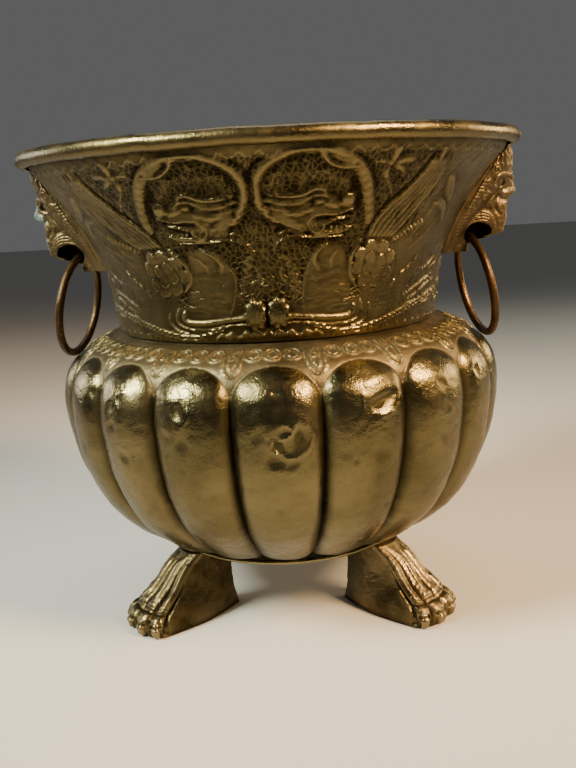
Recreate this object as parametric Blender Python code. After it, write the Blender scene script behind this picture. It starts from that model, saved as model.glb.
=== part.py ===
"""Lobed brass planter pot: flared neck with a wired rim, lobed belly, three paw feet,
two mask mounts with loose ring handles. Metres, +Z up, front towards -Y, origin on the
axis at the floor."""

import math

import bmesh
import bpy
import numpy as np
from mathutils import Vector

MM = 0.001

# Overall
RIM_R = 160.0            # outer radius of the rolled rim
ROLL_R = 4.6             # outside radius of the roll
ROLL_Z = 300.2           # height of the roll's centre
GAP = 0.3                # clearance between separate pieces
SHEET = 1.2              # sheet thickness of the neck and belly
ROUND_STEPS = 60         # facets round the turned pieces

# Neck, outer surface from the seam up to the roll: (radius, height)
NECK = [(104.3, 191.2), (106.4, 204.0), (108.2, 218.2), (111.8, 234.6), (122.6, 256.4),
        (130.0, 267.8), (138.0, 278.3), (145.4, 287.7), (151.6, 295.6)]

# Belly, outer surface over the lobes from the seam down: (radius, height)
BELLY = [(104.2, 190.3), (115.5, 187.6), (129.7, 181.7), (140.1, 169.5), (144.2, 152.6),
         (142.9, 132.7), (139.4, 114.3), (132.4, 95.9), (121.0, 77.5), (103.0, 61.6),
         (90.0, 54.0), (75.8, 49.2)]
LOBES = 19
LOBE_STEPS = 4           # facets across one lobe
LOBE_TURN = math.radians(0.0)   # centre of the front lobe, from -Y towards +X
LOBE_DEPTH = 5.6         # depth of the grooves between the lobes at the widest part
LOBE_TOP = 181.0         # height at which the grooves start
COLLAR_TOP = 199.5       # top of the belly's collar, inside the neck

# Base
BASE_LIP_R = 78.2
BASE_Z = 46.2            # underside of the base
BASE_LIP_TOP = 49.1

# Feet
FOOT_ANGLES = {"front_left": -56.0, "front_right": 56.0, "rear": 180.0}  # from -Y
STUD_AT = 62.0           # distance of each foot's stud from the pot's axis
STUD_R = 3.0
FOOT_HEEL = 47.0
FOOT_TOP = BASE_Z - GAP

# Masks and rings
MASK_BOTTOM = 233.0
MASK_TOP = 293.6
MUZZLE_HALF = 11.0
ARCH_WALL = 2.4          # half the wall left between the two sides of the mouth
RING_R = 33.0            # centre line
RING_WIRE = 2.65
HINGE_X = 127.5
HINGE_Z = 239.5
RING_LEAN = math.radians(11.0)   # the ring's foot stands out from its mouth by this angle
RING_TWIST = math.radians(8.5)   # the ring's front edge stands out by this angle
RIVET_R = 2.0
RIVET_HEIGHTS = (250.0, 286.0)

BRASS = (0.62, 0.45, 0.16, 1.0)
COPPERY = (0.45, 0.27, 0.12, 1.0)
STEEL = (0.35, 0.34, 0.32, 1.0)


def clear_scene():
    for obj in list(bpy.data.objects):
        bpy.data.objects.remove(obj, do_unlink=True)


def new_collection(name, hidden=False):
    made = bpy.data.collections.new(name)
    bpy.context.scene.collection.children.link(made)
    made.hide_render = hidden
    return made


def material(name, colour, rough, metallic=1.0):
    made = bpy.data.materials.new(name)
    made.use_nodes = True
    shader = made.node_tree.nodes["Principled BSDF"]
    shader.inputs["Base Color"].default_value = colour
    shader.inputs["Metallic"].default_value = metallic
    shader.inputs["Roughness"].default_value = rough
    made.diffuse_color = colour
    return made


def add_mesh(name, points, faces, origin=(0, 0, 0)):
    """A mesh object in the given collection from points in millimetres."""
    mesh = bpy.data.meshes.new(name)
    origin = Vector(origin)
    mesh.from_pydata([(Vector(p) - origin) * MM for p in points], [], faces)
    tidy = bmesh.new()
    tidy.from_mesh(mesh)
    bmesh.ops.recalc_face_normals(tidy, faces=tidy.faces)
    if tidy.calc_volume(signed=True) < 0:
        bmesh.ops.reverse_faces(tidy, faces=tidy.faces)
    tidy.to_mesh(mesh)
    tidy.free()
    obj = bpy.data.objects.new(name, mesh)
    obj.location = origin * MM
    return obj


def add_piece(name, points, faces, colour, rough, origin=(0, 0, 0)):
    obj = add_mesh(name, points, faces, origin)
    obj.data.materials.append(material(name, colour, rough))
    parts.objects.link(obj)
    return obj


def add_cutter(name, points, faces):
    obj = add_mesh(name, points, faces)
    obj.hide_render = True
    obj.display_type = "WIRE"
    cutters.objects.link(obj)
    return obj


def cut(obj, cutter):
    modifier = obj.modifiers.new("cut_" + cutter.name, "BOOLEAN")
    modifier.operation = "DIFFERENCE"
    modifier.solver = "EXACT"
    modifier.object = cutter


def ring_grid(rows, closed_rows):
    """Faces for rows of equal length, each row a closed loop of points."""
    count, across = rows
    faces = []
    for i in range(count if closed_rows else count - 1):
        for j in range(across):
            a, b = i * across, ((i + 1) % count) * across
            k = (j + 1) % across
            faces.append((a + j, a + k, b + k, b + j))
    return faces


def swept(profile_at, steps):
    """A closed cross-section carried round the axis: profile_at(angle) gives (r, z) pairs."""
    points = []
    for i in range(steps):
        angle = 2 * math.pi * i / steps
        for r, z in profile_at(angle):
            points.append((r * math.sin(angle), -r * math.cos(angle), z))
    across = len(points) // steps
    return points, ring_grid((steps, across), True)


def loft(loops):
    """Loops of equal length joined one to the next, with a fan of triangles on each end."""
    across = len(loops[0])
    points = [p for loop in loops for p in loop]
    faces = ring_grid((len(loops), across), False)
    for start, loop in ((0, loops[0]), ((len(loops) - 1) * across, loops[-1])):
        points.append(tuple(np.mean(np.array(loop), axis=0)))
        hub = len(points) - 1
        faces += [(start + j, start + (j + 1) % across, hub) for j in range(across)]
    return points, faces


def offset_inward(line, distance):
    """The (r, z) line moved by distance to the side that faces the axis as the line climbs."""
    line = np.array(line)
    along = np.gradient(line, axis=0)
    along /= np.linalg.norm(along, axis=1)[:, None]
    normal = np.stack([-along[:, 1], along[:, 0]], axis=1)
    return line + normal * distance


def neck_radius(z):
    table = np.array(NECK)
    return float(np.interp(z, table[:, 1], table[:, 0]))


def circle(radius, centre, start, end, count):
    angles = np.radians(np.linspace(start, end, count))
    return [(centre[0] + radius * math.cos(a), centre[1] + radius * math.sin(a)) for a in angles]


def build_neck():
    centre = (RIM_R - ROLL_R, ROLL_Z)
    outer = NECK[:-1] + [(151.0, 294.8)]
    inner = offset_inward(NECK, SHEET)
    profile = list(outer)
    profile += circle(ROLL_R - SHEET, centre, 212, -112, 9)
    profile += circle(ROLL_R, centre, -112, 212, 12)
    profile += [tuple(p) for p in inner[:-1][::-1]]
    points, faces = swept(lambda angle: profile, ROUND_STEPS)
    neck = add_piece("neck_shell", points, faces, BRASS, 0.35)
    wire = circle(ROLL_R - SHEET - GAP, centre, 0, 300, 6)
    points, faces = swept(lambda angle: wire, ROUND_STEPS)
    add_piece("rim_wire", points, faces, STEEL, 0.5)
    return neck


def lobe_depth(z):
    """Depth of the grooves at a height."""
    return LOBE_DEPTH * float(np.interp(z, [48, 62, 100, 165, LOBE_TOP - 4, LOBE_TOP],
                                        [0.35, 0.8, 1.0, 0.9, 0.25, 0.0]))


def lobe_dip(angle):
    """0 on the crown of a lobe, 1 in a groove."""
    across = ((angle - LOBE_TURN) * LOBES / (2 * math.pi) + 0.5) % 1.0
    return abs(2 * across - 1) ** 2.2


def build_belly():
    inner = offset_inward(BELLY[::-1], SHEET)[::-1]
    collar_out = NECK[0][0] - SHEET - 2 * GAP

    def profile_at(angle):
        dip = lobe_dip(angle)
        outer = [(r - lobe_depth(z) * dip, z) for r, z in BELLY]
        inside = [(r - lobe_depth(z) * dip, z) for (r, _), (_, z) in zip(inner, BELLY)]
        heights = [z for _, z in inner]
        inside = [(r, h) for (r, _), h in zip(inside, heights)]
        top = [(collar_out + 0.6, COLLAR_TOP), (collar_out, 190.6)]
        below = [(collar_out - SHEET, 189.6), (collar_out - SHEET + 0.6, COLLAR_TOP)]
        return top + outer + inside[1:][::-1] + below

    points, faces = swept(profile_at, LOBES * LOBE_STEPS)
    add_piece("belly_shell", points, faces, BRASS, 0.3)


def build_base():
    lip = BASE_LIP_R
    section = [(lip - SHEET, BASE_LIP_TOP), (lip - 0.3, BASE_LIP_TOP), (lip, BASE_LIP_TOP - 0.5),
               (lip, BASE_Z + 0.9), (lip - 0.9, BASE_Z), (0, BASE_Z), (0, BASE_Z + 1.5),
               (lip - SHEET, BASE_Z + 1.5)]
    steps = 48
    rims = [p for p in section if p[0] > 0]
    points, faces = swept(lambda angle: rims, steps)
    across = len(rims)
    faces = [f for f in faces if f[0] % across != 4]
    for k, z in ((4, BASE_Z), (5, BASE_Z + 1.5)):
        points.append((0, 0, z))
        hub = len(points) - 1
        faces += [(i * across + k, ((i + 1) % steps) * across + k, hub) for i in range(steps)]
    base = add_piece("base_plate", points, faces, BRASS, 0.4)
    for name, degrees in FOOT_ANGLES.items():
        x, y = foot_point(degrees, STUD_AT)
        cut(base, add_cutter("cut_base_" + name, *upright(x, y, STUD_R + GAP, 40, 60, 12)))


def foot_point(degrees, out, aside=0.0):
    a = math.radians(degrees)
    return (out * math.sin(a) + aside * math.cos(a), -out * math.cos(a) + aside * math.sin(a))


def upright(x, y, radius, low, high, sides, turn=0.0):
    loops = []
    for z in (low, high):
        loops.append([(x + radius * math.cos(turn + 2 * math.pi * k / sides),
                       y + radius * math.sin(turn + 2 * math.pi * k / sides), z)
                      for k in range(sides)])
    return loft(loops)


def washer_ring(inside, outside, low, high, sides, outer_sides=None):
    """A ring of rectangular section about the Z axis, at the origin."""
    points = []
    for k in range(sides):
        a = 2 * math.pi * k / sides
        wide = outside
        if outer_sides:
            half = math.pi / outer_sides
            wide = outside * math.cos(half) / math.cos((a + half) % (2 * half) - half)
        for r, z in ((inside, low), (wide, low), (wide, high), (inside, high)):
            points.append((r * math.cos(a), r * math.sin(a), z))
    return points, ring_grid((sides, 4), True)


TOES = 4


def foot_loop(z, front, half, heel_half, toes):
    """Outline of a paw at one height, as (out, aside) pairs, heel first."""
    heel = FOOT_HEEL + 3.4 * min(z, 14.0) / 14.0
    side = front - half * 0.55
    line = [(heel, -heel_half), (heel + 0.48 * (side - heel), -half * 0.80), (side, -half)]
    for k in range(TOES * 3 + 1):
        t = k / (TOES * 3)
        across = -math.cos(math.pi * (0.14 + 0.72 * t)) / math.cos(math.pi * 0.14)
        bulge = math.sqrt(max(0.0, 1 - 0.80 * across ** 2))
        notch = toes * (1.0 if k % 3 == 0 and 0 < k < TOES * 3 else 0.0)
        line.append((side + half * 0.55 * bulge * 1.0 - notch, across * half * 0.98))
    line += [(side, half), (heel + 0.48 * (side - heel), half * 0.80), (heel, heel_half)]
    return line


# Each level of a paw: (height, furthest point out, half width, half width of the heel, notch)
FOOT_LEVELS = [(0.0, 120.5, 21.0, 5.0, 2.6), (3.0, 122.6, 22.3, 5.6, 3.4),
               (11.0, 122.8, 22.2, 5.6, 3.2), (16.5, 120.0, 20.6, 5.4, 2.6),
               (21.5, 114.6, 18.6, 5.2, 1.8), (27.5, 107.4, 16.4, 5.0, 1.2),
               (34.0, 102.2, 14.6, 5.0, 0.8), (39.5, 95.4, 13.6, 5.0, 0.4),
               (FOOT_TOP, 84.4, 13.2, 5.0, 0.0)]


def build_foot(name, degrees):
    loops = []
    for z, front, half, heel_half, toes in FOOT_LEVELS:
        loops.append([(*foot_point(degrees, o, a), z)
                      for o, a in foot_loop(z, front, half, heel_half, toes)])
    points, faces = loft(loops)
    foot = add_piece("paw_foot_" + name, points, faces, BRASS, 0.38)
    x, y = foot_point(degrees, STUD_AT)
    cut(foot, add_cutter("cut_foot_" + name, *upright(x, y, STUD_R + GAP, 20, 60, 12)))
    points, faces = upright(x, y, STUD_R, 20.5, 57.6, 12)
    add_piece("foot_stud_" + name, points, faces, STEEL, 0.45)
    top = BASE_Z + 1.5 + GAP
    for label, outside, low, high, corners in (("washer", 8.0, top, top + 1.2, None),
                                               ("nut", 6.4, top + 1.5, top + 6.3, 6)):
        points, faces = washer_ring(STUD_R + GAP, outside, low, high, 12, corners)
        points = [(px + x, py + y, pz) for px, py, pz in points]
        add_piece("foot_" + label + "_" + name, points, faces, STEEL, 0.45)


def smooth(t):
    t = min(max(t, 0.0), 1.0)
    return t * t * (3 - 2 * t)


def at(z, table):
    pairs = np.array(table)
    return float(np.interp(z, pairs[:, 0], pairs[:, 1]))


def mask_front(y, z):
    """How far the mask's face stands from the pot's axis plane at (y, z)."""
    wide = at(z, [(233, 21), (245, 24), (262, 28), (282, 28), (294, 26)])
    back = math.sqrt(neck_radius(z) ** 2 - y * y)
    u = min(abs(y) / wide, 1.0)
    cheek = at(z, [(233, 7), (240, 8), (250, 10), (262, 15), (272, 17), (282, 14), (294, 6)])
    face = back + 1.6 + cheek * math.sqrt(max(0.0, 1 - u ** 3))
    crest = at(z, [(233, 141.5), (238, 150.5), (258, 152.5), (263, 154.5), (268, 159.6),
                   (275, 156.5), (281, 157.6), (290, 157.8), (294, 156.5)])
    broad = at(z, [(233, 10), (258, 11), (264, 8.5), (270, 7), (276, 13), (283, 18), (294, 19)])
    edge = at(z, [(233, 1.5), (258, 1.8), (266, 5.0), (276, 8.0), (294, 8.0)])
    ridge = smooth((broad + edge - abs(y)) / edge)
    nose = crest - 0.018 * y * y
    return max(face, face + (nose - face) * ridge) if nose > face else face


MASK_COLUMNS = (0.0, 4.0, 8.0, MUZZLE_HALF, 12.8, 17.0, 22.0)
MASK_ROWS = (MASK_BOTTOM, 238.0, 244.0, 250.0, 256.0, 260.0, 264.0, 268.0, 273.0, 279.0, 286.0,
             MASK_TOP)


def build_mask(side):
    sign = -1 if side == "left" else 1
    half = list(MASK_COLUMNS)
    fronts, backs = [], []
    for z in MASK_ROWS:
        wide = at(z, [(233, 21), (245, 24), (262, 28), (282, 28), (294, 26)])
        cols = [c * min(1.0, (wide - 1.0) / 23.0) if c > 13 else c for c in half] + [wide]
        cols = [-c for c in cols[:0:-1]] + cols
        fronts.append([(sign * mask_front(y, z), y, z) for y in cols])
        backs.append([(sign * (math.sqrt(neck_radius(z) ** 2 - y * y) + GAP), y, z) for y in cols])
    rows, across = len(fronts), len(fronts[0])
    points = [p for row in fronts for p in row] + [p for row in backs for p in row]
    shift = rows * across
    faces = []
    for i in range(rows - 1):
        for j in range(across - 1):
            a = i * across + j
            quad = (a, a + 1, a + 1 + across, a + across)
            faces.append(quad)
            faces.append(tuple(q + shift for q in quad[::-1]))
    border = [(0, j) for j in range(across)] + [(i, across - 1) for i in range(1, rows)]
    border += [(rows - 1, j) for j in range(across - 2, -1, -1)]
    border += [(i, 0) for i in range(rows - 2, 0, -1)]
    for (i, j), (k, m) in zip(border, border[1:] + border[:1]):
        a, b = i * across + j, k * across + m
        faces.append((a, b, b + shift, a + shift))
    mask = add_piece("lion_mask_" + side, points, faces, BRASS, 0.4)

    # The mouth: a bore that widens outwards, so that the bent ring turns in it, and the arch
    axis = Vector((sign * math.sin(RING_TWIST), -math.cos(RING_TWIST), 0))
    loops = []
    for s in (-20, -15, -10, -5, 0, 5, 10, 15, 20):
        sag = RING_R - math.sqrt(RING_R ** 2 - s * s)
        radius = RING_WIRE + GAP + 0.15 + sag * 1.04
        centre = Vector((sign * HINGE_X, 0, HINGE_Z)) + axis * s
        flat = Vector((axis.y, -axis.x, 0))
        loops.append([tuple(centre + flat * radius * math.cos(a) + Vector((0, 0, 1)) * radius
                            * math.sin(a)) for a in np.linspace(0, 2 * math.pi, 17)[:-1]])
    cut(mask, add_cutter("cut_mouth_bore_" + side, *loft(loops)))
    arch = [(-3.2, 0.4), (13.5, 1.4), (14.5, 4.4), (12.0, 8.6), (7.0, 10.6), (1.5, 9.6),
            (-2.6, 6.0)]
    for label, ends in (("front", (-16.5, -ARCH_WALL)), ("back", (ARCH_WALL, 16.5))):
        loops = [[(sign * (HINGE_X + a), s, HINGE_Z + b) for a, b in arch] for s in ends]
        cut(mask, add_cutter("cut_mouth_arch_" + label + "_" + side, *loft(loops)))
    loops = []
    for z, deep in ((256.5, 141.0), (268.0, 149.0), (280.5, 151.0)):
        near = neck_radius(z) - 6
        loops.append([(sign * near, -15, z), (sign * deep, -7.5, z), (sign * deep, 7.5, z),
                      (sign * near, 15, z)])
    cut(mask, add_cutter("cut_mask_core_" + side, *loft(loops)))
    for k, z in enumerate(RIVET_HEIGHTS):
        build_rivet(mask, side, sign, k, z)


def build_rivet(mask, side, sign, k, z):
    """A rivet along X through the neck into the mask, with its washer inside the neck."""
    label = side + ("_lower", "_upper")[k]
    wall = neck_radius(z)
    slope = (neck_radius(z + 4) - neck_radius(z - 4)) / 8
    out = Vector((1, 0, -slope)).normalized()
    seat = Vector((wall, 0, z)) - out * SHEET
    side_way, up_way = Vector((0, 1, 0)), Vector((slope, 0, 1)).normalized()

    def turned(rows, sides):
        loops = []
        for along, radius in rows:
            loops.append([(seat + out * along + side_way * radius * math.cos(a)
                           + up_way * radius * math.sin(a))
                          for a in np.linspace(0, 2 * math.pi, sides + 1)[:-1]])
        return [[(sign * p.x, p.y, p.z) for p in loop] for loop in loops]

    hole = add_cutter("cut_rivet_" + label, *loft(turned([(-6, RIVET_R + GAP),
                                                         (8.3, RIVET_R + GAP)], 12)))
    cut(mask, hole)
    cut(bpy.data.objects["neck_shell"], hole)
    low = -2 * GAP - 1.0
    rows = [(low - 2.3, 1.6), (low - 1.7, 3.0), (low - GAP, 3.8), (low - GAP, RIVET_R),
            (8.0, RIVET_R)]
    points, faces = loft(turned(rows, 12))
    add_piece("mask_rivet_" + label, points, faces, COPPERY, 0.45)
    ring = turned([(low, RIVET_R + GAP), (low, 5.0), (low + 1.0, 5.0), (low + 1.0,
                   RIVET_R + GAP)], 12)
    points = [loop[j] for j in range(12) for loop in ring]
    add_piece("mask_washer_" + label, points, ring_grid((12, 4), True), COPPERY, 0.5)


def build_ring(side):
    sign = -1 if side == "left" else 1
    hinge = Vector((sign * HINGE_X, 0, HINGE_Z))
    along = Vector((sign * math.sin(RING_TWIST), -math.cos(RING_TWIST), 0))
    out = Vector((sign * math.cos(RING_TWIST), math.sin(RING_TWIST), 0))
    down = out * math.sin(RING_LEAN) - Vector((0, 0, 1)) * math.cos(RING_LEAN)
    face = along.cross(down)
    centre = hinge + down * RING_R
    points = []
    around, across = 40, 8
    for i in range(around):
        a = 2 * math.pi * i / around
        spoke = along * math.sin(a) - down * math.cos(a)
        for j in range(across):
            b = 2 * math.pi * j / across
            points.append(centre + spoke * (RING_R + RING_WIRE * math.cos(b))
                          + face * RING_WIRE * math.sin(b))
    add_piece("ring_handle_" + side, points, ring_grid((around, across), True), COPPERY, 0.4,
              origin=hinge)


clear_scene()
parts = new_collection("brass_planter_pot")
cutters = new_collection("cutters", hidden=True)
build_neck()
build_belly()
build_base()
for foot_name, foot_degrees in FOOT_ANGLES.items():
    build_foot(foot_name, foot_degrees)
for mask_side in ("left", "right"):
    build_mask(mask_side)
    build_ring(mask_side)
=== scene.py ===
"""Looks of the brass planter pot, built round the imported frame. Shapes are worked out in
millimetres, in the frame's own axes, and scaled to metres where each mesh is made."""

import math

import bpy
import numpy as np
from mathutils import Matrix, Vector


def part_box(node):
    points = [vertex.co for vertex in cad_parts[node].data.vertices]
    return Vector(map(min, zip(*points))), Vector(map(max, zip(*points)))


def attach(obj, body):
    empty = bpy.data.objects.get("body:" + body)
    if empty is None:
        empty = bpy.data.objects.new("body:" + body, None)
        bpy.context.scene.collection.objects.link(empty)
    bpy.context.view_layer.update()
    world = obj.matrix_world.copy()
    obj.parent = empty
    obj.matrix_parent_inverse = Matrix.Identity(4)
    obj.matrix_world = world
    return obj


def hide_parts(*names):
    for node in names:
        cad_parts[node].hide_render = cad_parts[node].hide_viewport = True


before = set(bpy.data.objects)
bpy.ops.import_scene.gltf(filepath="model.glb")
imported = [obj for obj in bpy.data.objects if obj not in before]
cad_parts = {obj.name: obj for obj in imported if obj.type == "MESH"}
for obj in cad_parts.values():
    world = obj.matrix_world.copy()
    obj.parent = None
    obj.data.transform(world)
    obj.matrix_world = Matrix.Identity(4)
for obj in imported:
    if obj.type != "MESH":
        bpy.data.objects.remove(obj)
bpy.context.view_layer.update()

MM = 0.001

# Sizes read from the frame, in millimetres
RIM_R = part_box("neck_shell")[1].x / MM
BODY_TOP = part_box("neck_shell")[1].z / MM
BASE_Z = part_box("base_plate")[0].z / MM
BASE_LIP_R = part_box("base_plate")[1].x / MM
SHEET = 1.2
ROLL_R = 4.6
ROLL_CENTRE = (RIM_R - ROLL_R, BODY_TOP - ROLL_R)

# Outlines of the sheet's outer side: (radius, height)
NECK = [(104.3, 191.2), (106.4, 204.0), (108.2, 218.2), (111.8, 234.6), (122.6, 256.4),
        (130.0, 267.8), (138.0, 278.3), (145.4, 287.7), (150.6, 294.4)]
BELLY = [(104.2, 190.3), (115.5, 187.6), (129.7, 181.7), (140.1, 169.5), (144.2, 152.6),
         (142.9, 132.7), (139.4, 114.3), (132.4, 95.9), (121.0, 77.5), (103.0, 61.6),
         (90.0, 54.0), (75.8, 49.2)]
LOBES = 19
LOBE_DEG = 360.0 / LOBES


# ---------------------------------------------------------------- small tools

def ramp(x, low, high):
    """Smooth step from 0 at low to 1 at high."""
    t = np.clip((np.asarray(x, float) - low) / (high - low), 0, 1)
    return t * t * (3 - 2 * t)


def table(x, pairs):
    """The value at x, straight between (x, value) pairs."""
    pairs = np.array(pairs, float)
    return np.interp(x, pairs[:, 0], pairs[:, 1])


def flowing(points, per=8, closed=False):
    """A Catmull-Rom curve through the points, as an array."""
    p = np.array(points, float)
    if len(p) < 3 and not closed:
        return p[0] + np.linspace(0, 1, per + 1)[:, None] * (p[1] - p[0])
    if closed:
        p = np.vstack([p[-1], p, p[:2]])
    else:
        p = np.vstack([2 * p[0] - p[1], p, 2 * p[-1] - p[-2]])
    out = []
    for a, b, c, d in zip(p[:-3], p[1:-2], p[2:-1], p[3:]):
        t = np.linspace(0, 1, per, endpoint=False)[:, None]
        out.append(0.5 * (2 * b + (c - a) * t + (2 * a - 5 * b + 4 * c - d) * t ** 2
                          + (3 * b - a - 3 * c + d) * t ** 3))
    if not closed:
        out.append(p[-2][None])
    return np.vstack(out)


def gone_along(line):
    """How far along a line each of its points is."""
    return np.concatenate([[0], np.cumsum(np.linalg.norm(np.diff(line, axis=0), axis=1))])


def evenly(line, step):
    """The line resampled at about the given step."""
    gone = gone_along(line)
    at = np.linspace(0, gone[-1], max(2, int(round(gone[-1] / step)) + 1))
    return np.stack([np.interp(at, gone, line[:, k]) for k in range(line.shape[1])], axis=1)


def nearest(x, y, line):
    """Distance of each place from the line, how far along it that is (0 to 1), and the line's
    length."""
    gone = gone_along(line)
    best, where = np.full(x.shape, 1e9), np.zeros(x.shape)
    for (ax, ay), (bx, by), start in zip(line[:-1], line[1:], gone):
        dx, dy = bx - ax, by - ay
        size = max(dx * dx + dy * dy, 1e-9)
        t = np.clip(((x - ax) * dx + (y - ay) * dy) / size, 0, 1)
        d = np.hypot(x - ax - t * dx, y - ay - t * dy)
        where = np.where(d < best, start + t * math.sqrt(size), where)
        best = np.minimum(best, d)
    return best, where / max(gone[-1], 1e-9), gone[-1]


def bulge(d, t, width, taper):
    """1 on a line's middle and 0 from half its width, which narrows towards both ends."""
    half = width / 2 * (1 - taper * np.abs(2 * t - 1) ** 2.5)
    return np.clip(1 - (d / np.maximum(half, 0.05)) ** 2, 0, 1)


def turned(x, y, degrees):
    """Coordinates along and across a direction at that angle."""
    c, s = math.cos(math.radians(degrees)), math.sin(math.radians(degrees))
    return x * c + y * s, y * c - x * s


def oval(b, z, wide, tall, angles):
    """Points round an oval, at angles in radians."""
    return [(b + wide * math.cos(a), z + tall * math.sin(a)) for a in angles]


def shifted(line, b, z):
    return [(p + b, q + z) for p, q in line]


def soften(field, reach, wrap=False):
    """A box blur run twice over both axes."""
    for axis in (0, 1):
        for _ in range(2):
            size = 2 * reach + 1
            pad = [(0, 0), (0, 0)]
            pad[axis] = (reach, reach)
            wide = np.pad(field, pad, mode="wrap" if wrap and axis == 1 else "edge")
            total = np.cumsum(wide, axis=axis)
            total = np.concatenate([np.zeros_like(np.take(total, [0], axis)), total], axis)
            high = np.take(total, range(size, total.shape[axis]), axis)
            low = np.take(total, range(0, total.shape[axis] - size), axis)
            field = (high - low) / size
    return field


def waves(x, y, z, scale, seed, octaves=3):
    """Soft uneven value from a few crossed sines, about -1 to 1."""
    rng = np.random.default_rng(seed)
    total, weight = 0, 0
    for k in range(octaves):
        for _ in range(5):
            way = rng.normal(size=3)
            way *= 2 ** k * 2 * np.pi / (scale * np.linalg.norm(way))
            total = total + np.sin(x * way[0] + y * way[1] + z * way[2]
                                   + rng.uniform(0, 6.28)) / 2 ** k
        weight += 5 / 2 ** k
    return total / weight * 2.0


# ---------------------------------------------------------------- meshes

def grid_faces(rows, cols, wrap_rows=False, wrap_cols=False, flip=False):
    i, j = np.meshgrid(np.arange(rows if wrap_rows else rows - 1),
                       np.arange(cols if wrap_cols else cols - 1), indexing="ij")
    i, j = i.ravel(), j.ravel()
    k, m = (i + 1) % rows, (j + 1) % cols
    quads = np.stack([i * cols + j, i * cols + m, k * cols + m, k * cols + j], axis=1)
    return quads[:, ::-1] if flip else quads


def add_piece(name, points, faces, material, body, replaces, marks, sharp=40):
    """A piece from points in millimetres. marks are per-point values that its material reads."""
    mesh = bpy.data.meshes.new(name)
    points = np.asarray(points, float).reshape(-1, 3) * MM
    mesh.from_pydata(points, [], [list(map(int, f)) for f in faces])
    mesh.validate()
    for label, values in marks.items():
        mark = mesh.attributes.new(label, "FLOAT", "POINT")
        mark.data.foreach_set("value", np.asarray(values, np.float32).ravel())
    mesh.shade_smooth()
    mesh.set_sharp_from_angle(angle=math.radians(sharp))
    mesh.materials.append(material)
    obj = bpy.data.objects.new(name, mesh)
    bpy.context.scene.collection.objects.link(obj)
    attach(obj, body)
    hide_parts(*replaces)


def add_half(name, points, material, replaces, marks, flip=False):
    """Half of a hollow turned sheet. Its rows run right round the section, and a face closes
    it at both ends."""
    count, across = points.shape[:2]
    ends = np.arange(count) * across
    caps = [ends[::-1], ends + across - 1]
    if flip:
        caps = [cap[::-1] for cap in caps]
    faces = grid_faces(count, across, wrap_rows=True, flip=flip).tolist() + caps
    add_piece(name, points, faces, material, "pot", replaces, marks)


def spin(radius, height, degrees):
    """Points at (radius, height), turned from -Y towards +X."""
    a = np.radians(degrees)
    return np.stack([radius * np.sin(a), -radius * np.cos(a), height], axis=-1)


def raised(line, way, height, degrees):
    """An outline turned about the axis, each point moved along its way by height."""
    radius = line[:, :1] + way[:, :1] * height
    level = line[:, 1:] + way[:, 1:] * height
    return spin(radius, level, np.broadcast_to(degrees, radius.shape))


def outward(line):
    """Unit normals of an outline, to the side away from the axis as it climbs."""
    along = np.gradient(line, axis=0)
    along /= np.linalg.norm(along, axis=1)[:, None]
    return np.stack([along[:, 1], -along[:, 0]], axis=1)


def surface_normals(points):
    normal = np.cross(np.gradient(points, axis=1), np.gradient(points, axis=0))
    return normal / np.maximum(np.linalg.norm(normal, axis=2)[..., None], 1e-9)


# ---------------------------------------------------------------- camera, floor, lights

# The photograph's view: angles in degrees, and the eye's place in rim radii
HEADING, DIP, ROLL = np.radians((-2.07, 11.38, -3.19))
EYE = (0.1666, -3.817, 1.6756)
LENS, SENSOR = 42.58, 36.0

# Name, degrees round from the front, lift, distance, size, watts, colour, spread
SOFTBOXES = (
    ("cool_left", -58, 38, 1.5, (0.50, 0.42), 7.0, (0.98, 1.0, 0.80), 58),
    ("warm_right", 54, 36, 1.5, (0.46, 0.40), 9.0, (1.0, 0.64, 0.31), 58),
    ("cool_edge", -112, 12, 1.8, (0.8, 0.6), 3.6, (1.0, 0.98, 0.90), 120),
    ("warm_edge", 112, 12, 1.8, (0.8, 0.6), 9.0, (1.0, 0.72, 0.38), 120),
    ("overhead", 175, 66, 1.7, (1.3, 0.9), 3.6, (1.0, 0.97, 0.92), 120),
)
SOFTBOX_RISE = 0.15      # metres, added to each one's height
SOFTBOX_AIM = (0, 0, 0.17)


def add_camera():
    forward = Vector((math.sin(HEADING) * math.cos(DIP), math.cos(HEADING) * math.cos(DIP),
                      -math.sin(DIP)))
    right = forward.cross(Vector((0, 0, 1))).normalized()
    up = right.cross(forward)
    turned_right = right * math.cos(ROLL) + up * math.sin(ROLL)
    turned_up = up * math.cos(ROLL) - right * math.sin(ROLL)
    data = bpy.data.cameras.new("view")
    data.lens, data.sensor_width = LENS, SENSOR
    camera = bpy.data.objects.new("view", data)
    bpy.context.scene.collection.objects.link(camera)
    turn = Matrix((turned_right, turned_up, -forward)).transposed().to_4x4()
    camera.matrix_world = Matrix.Translation(Vector(EYE) * RIM_R * MM) @ turn
    bpy.context.scene.camera = camera


def add_floor():
    size = 40 * RIM_R * MM
    mesh = bpy.data.meshes.new("floor")
    mesh.from_pydata([(-size, -size, 0), (size, -size, 0), (size, size, 0), (-size, size, 0)],
                     [], [(0, 1, 2, 3)])
    floor = bpy.data.objects.new("floor", mesh)
    bpy.context.scene.collection.objects.link(floor)
    pale = bpy.data.materials.new("pale_floor")
    pale.use_nodes = True
    shader = pale.node_tree.nodes["Principled BSDF"]
    shader.inputs["Base Color"].default_value = (0.47, 0.46, 0.445, 1)
    shader.inputs["Roughness"].default_value = 0.8
    mesh.materials.append(pale)


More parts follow.
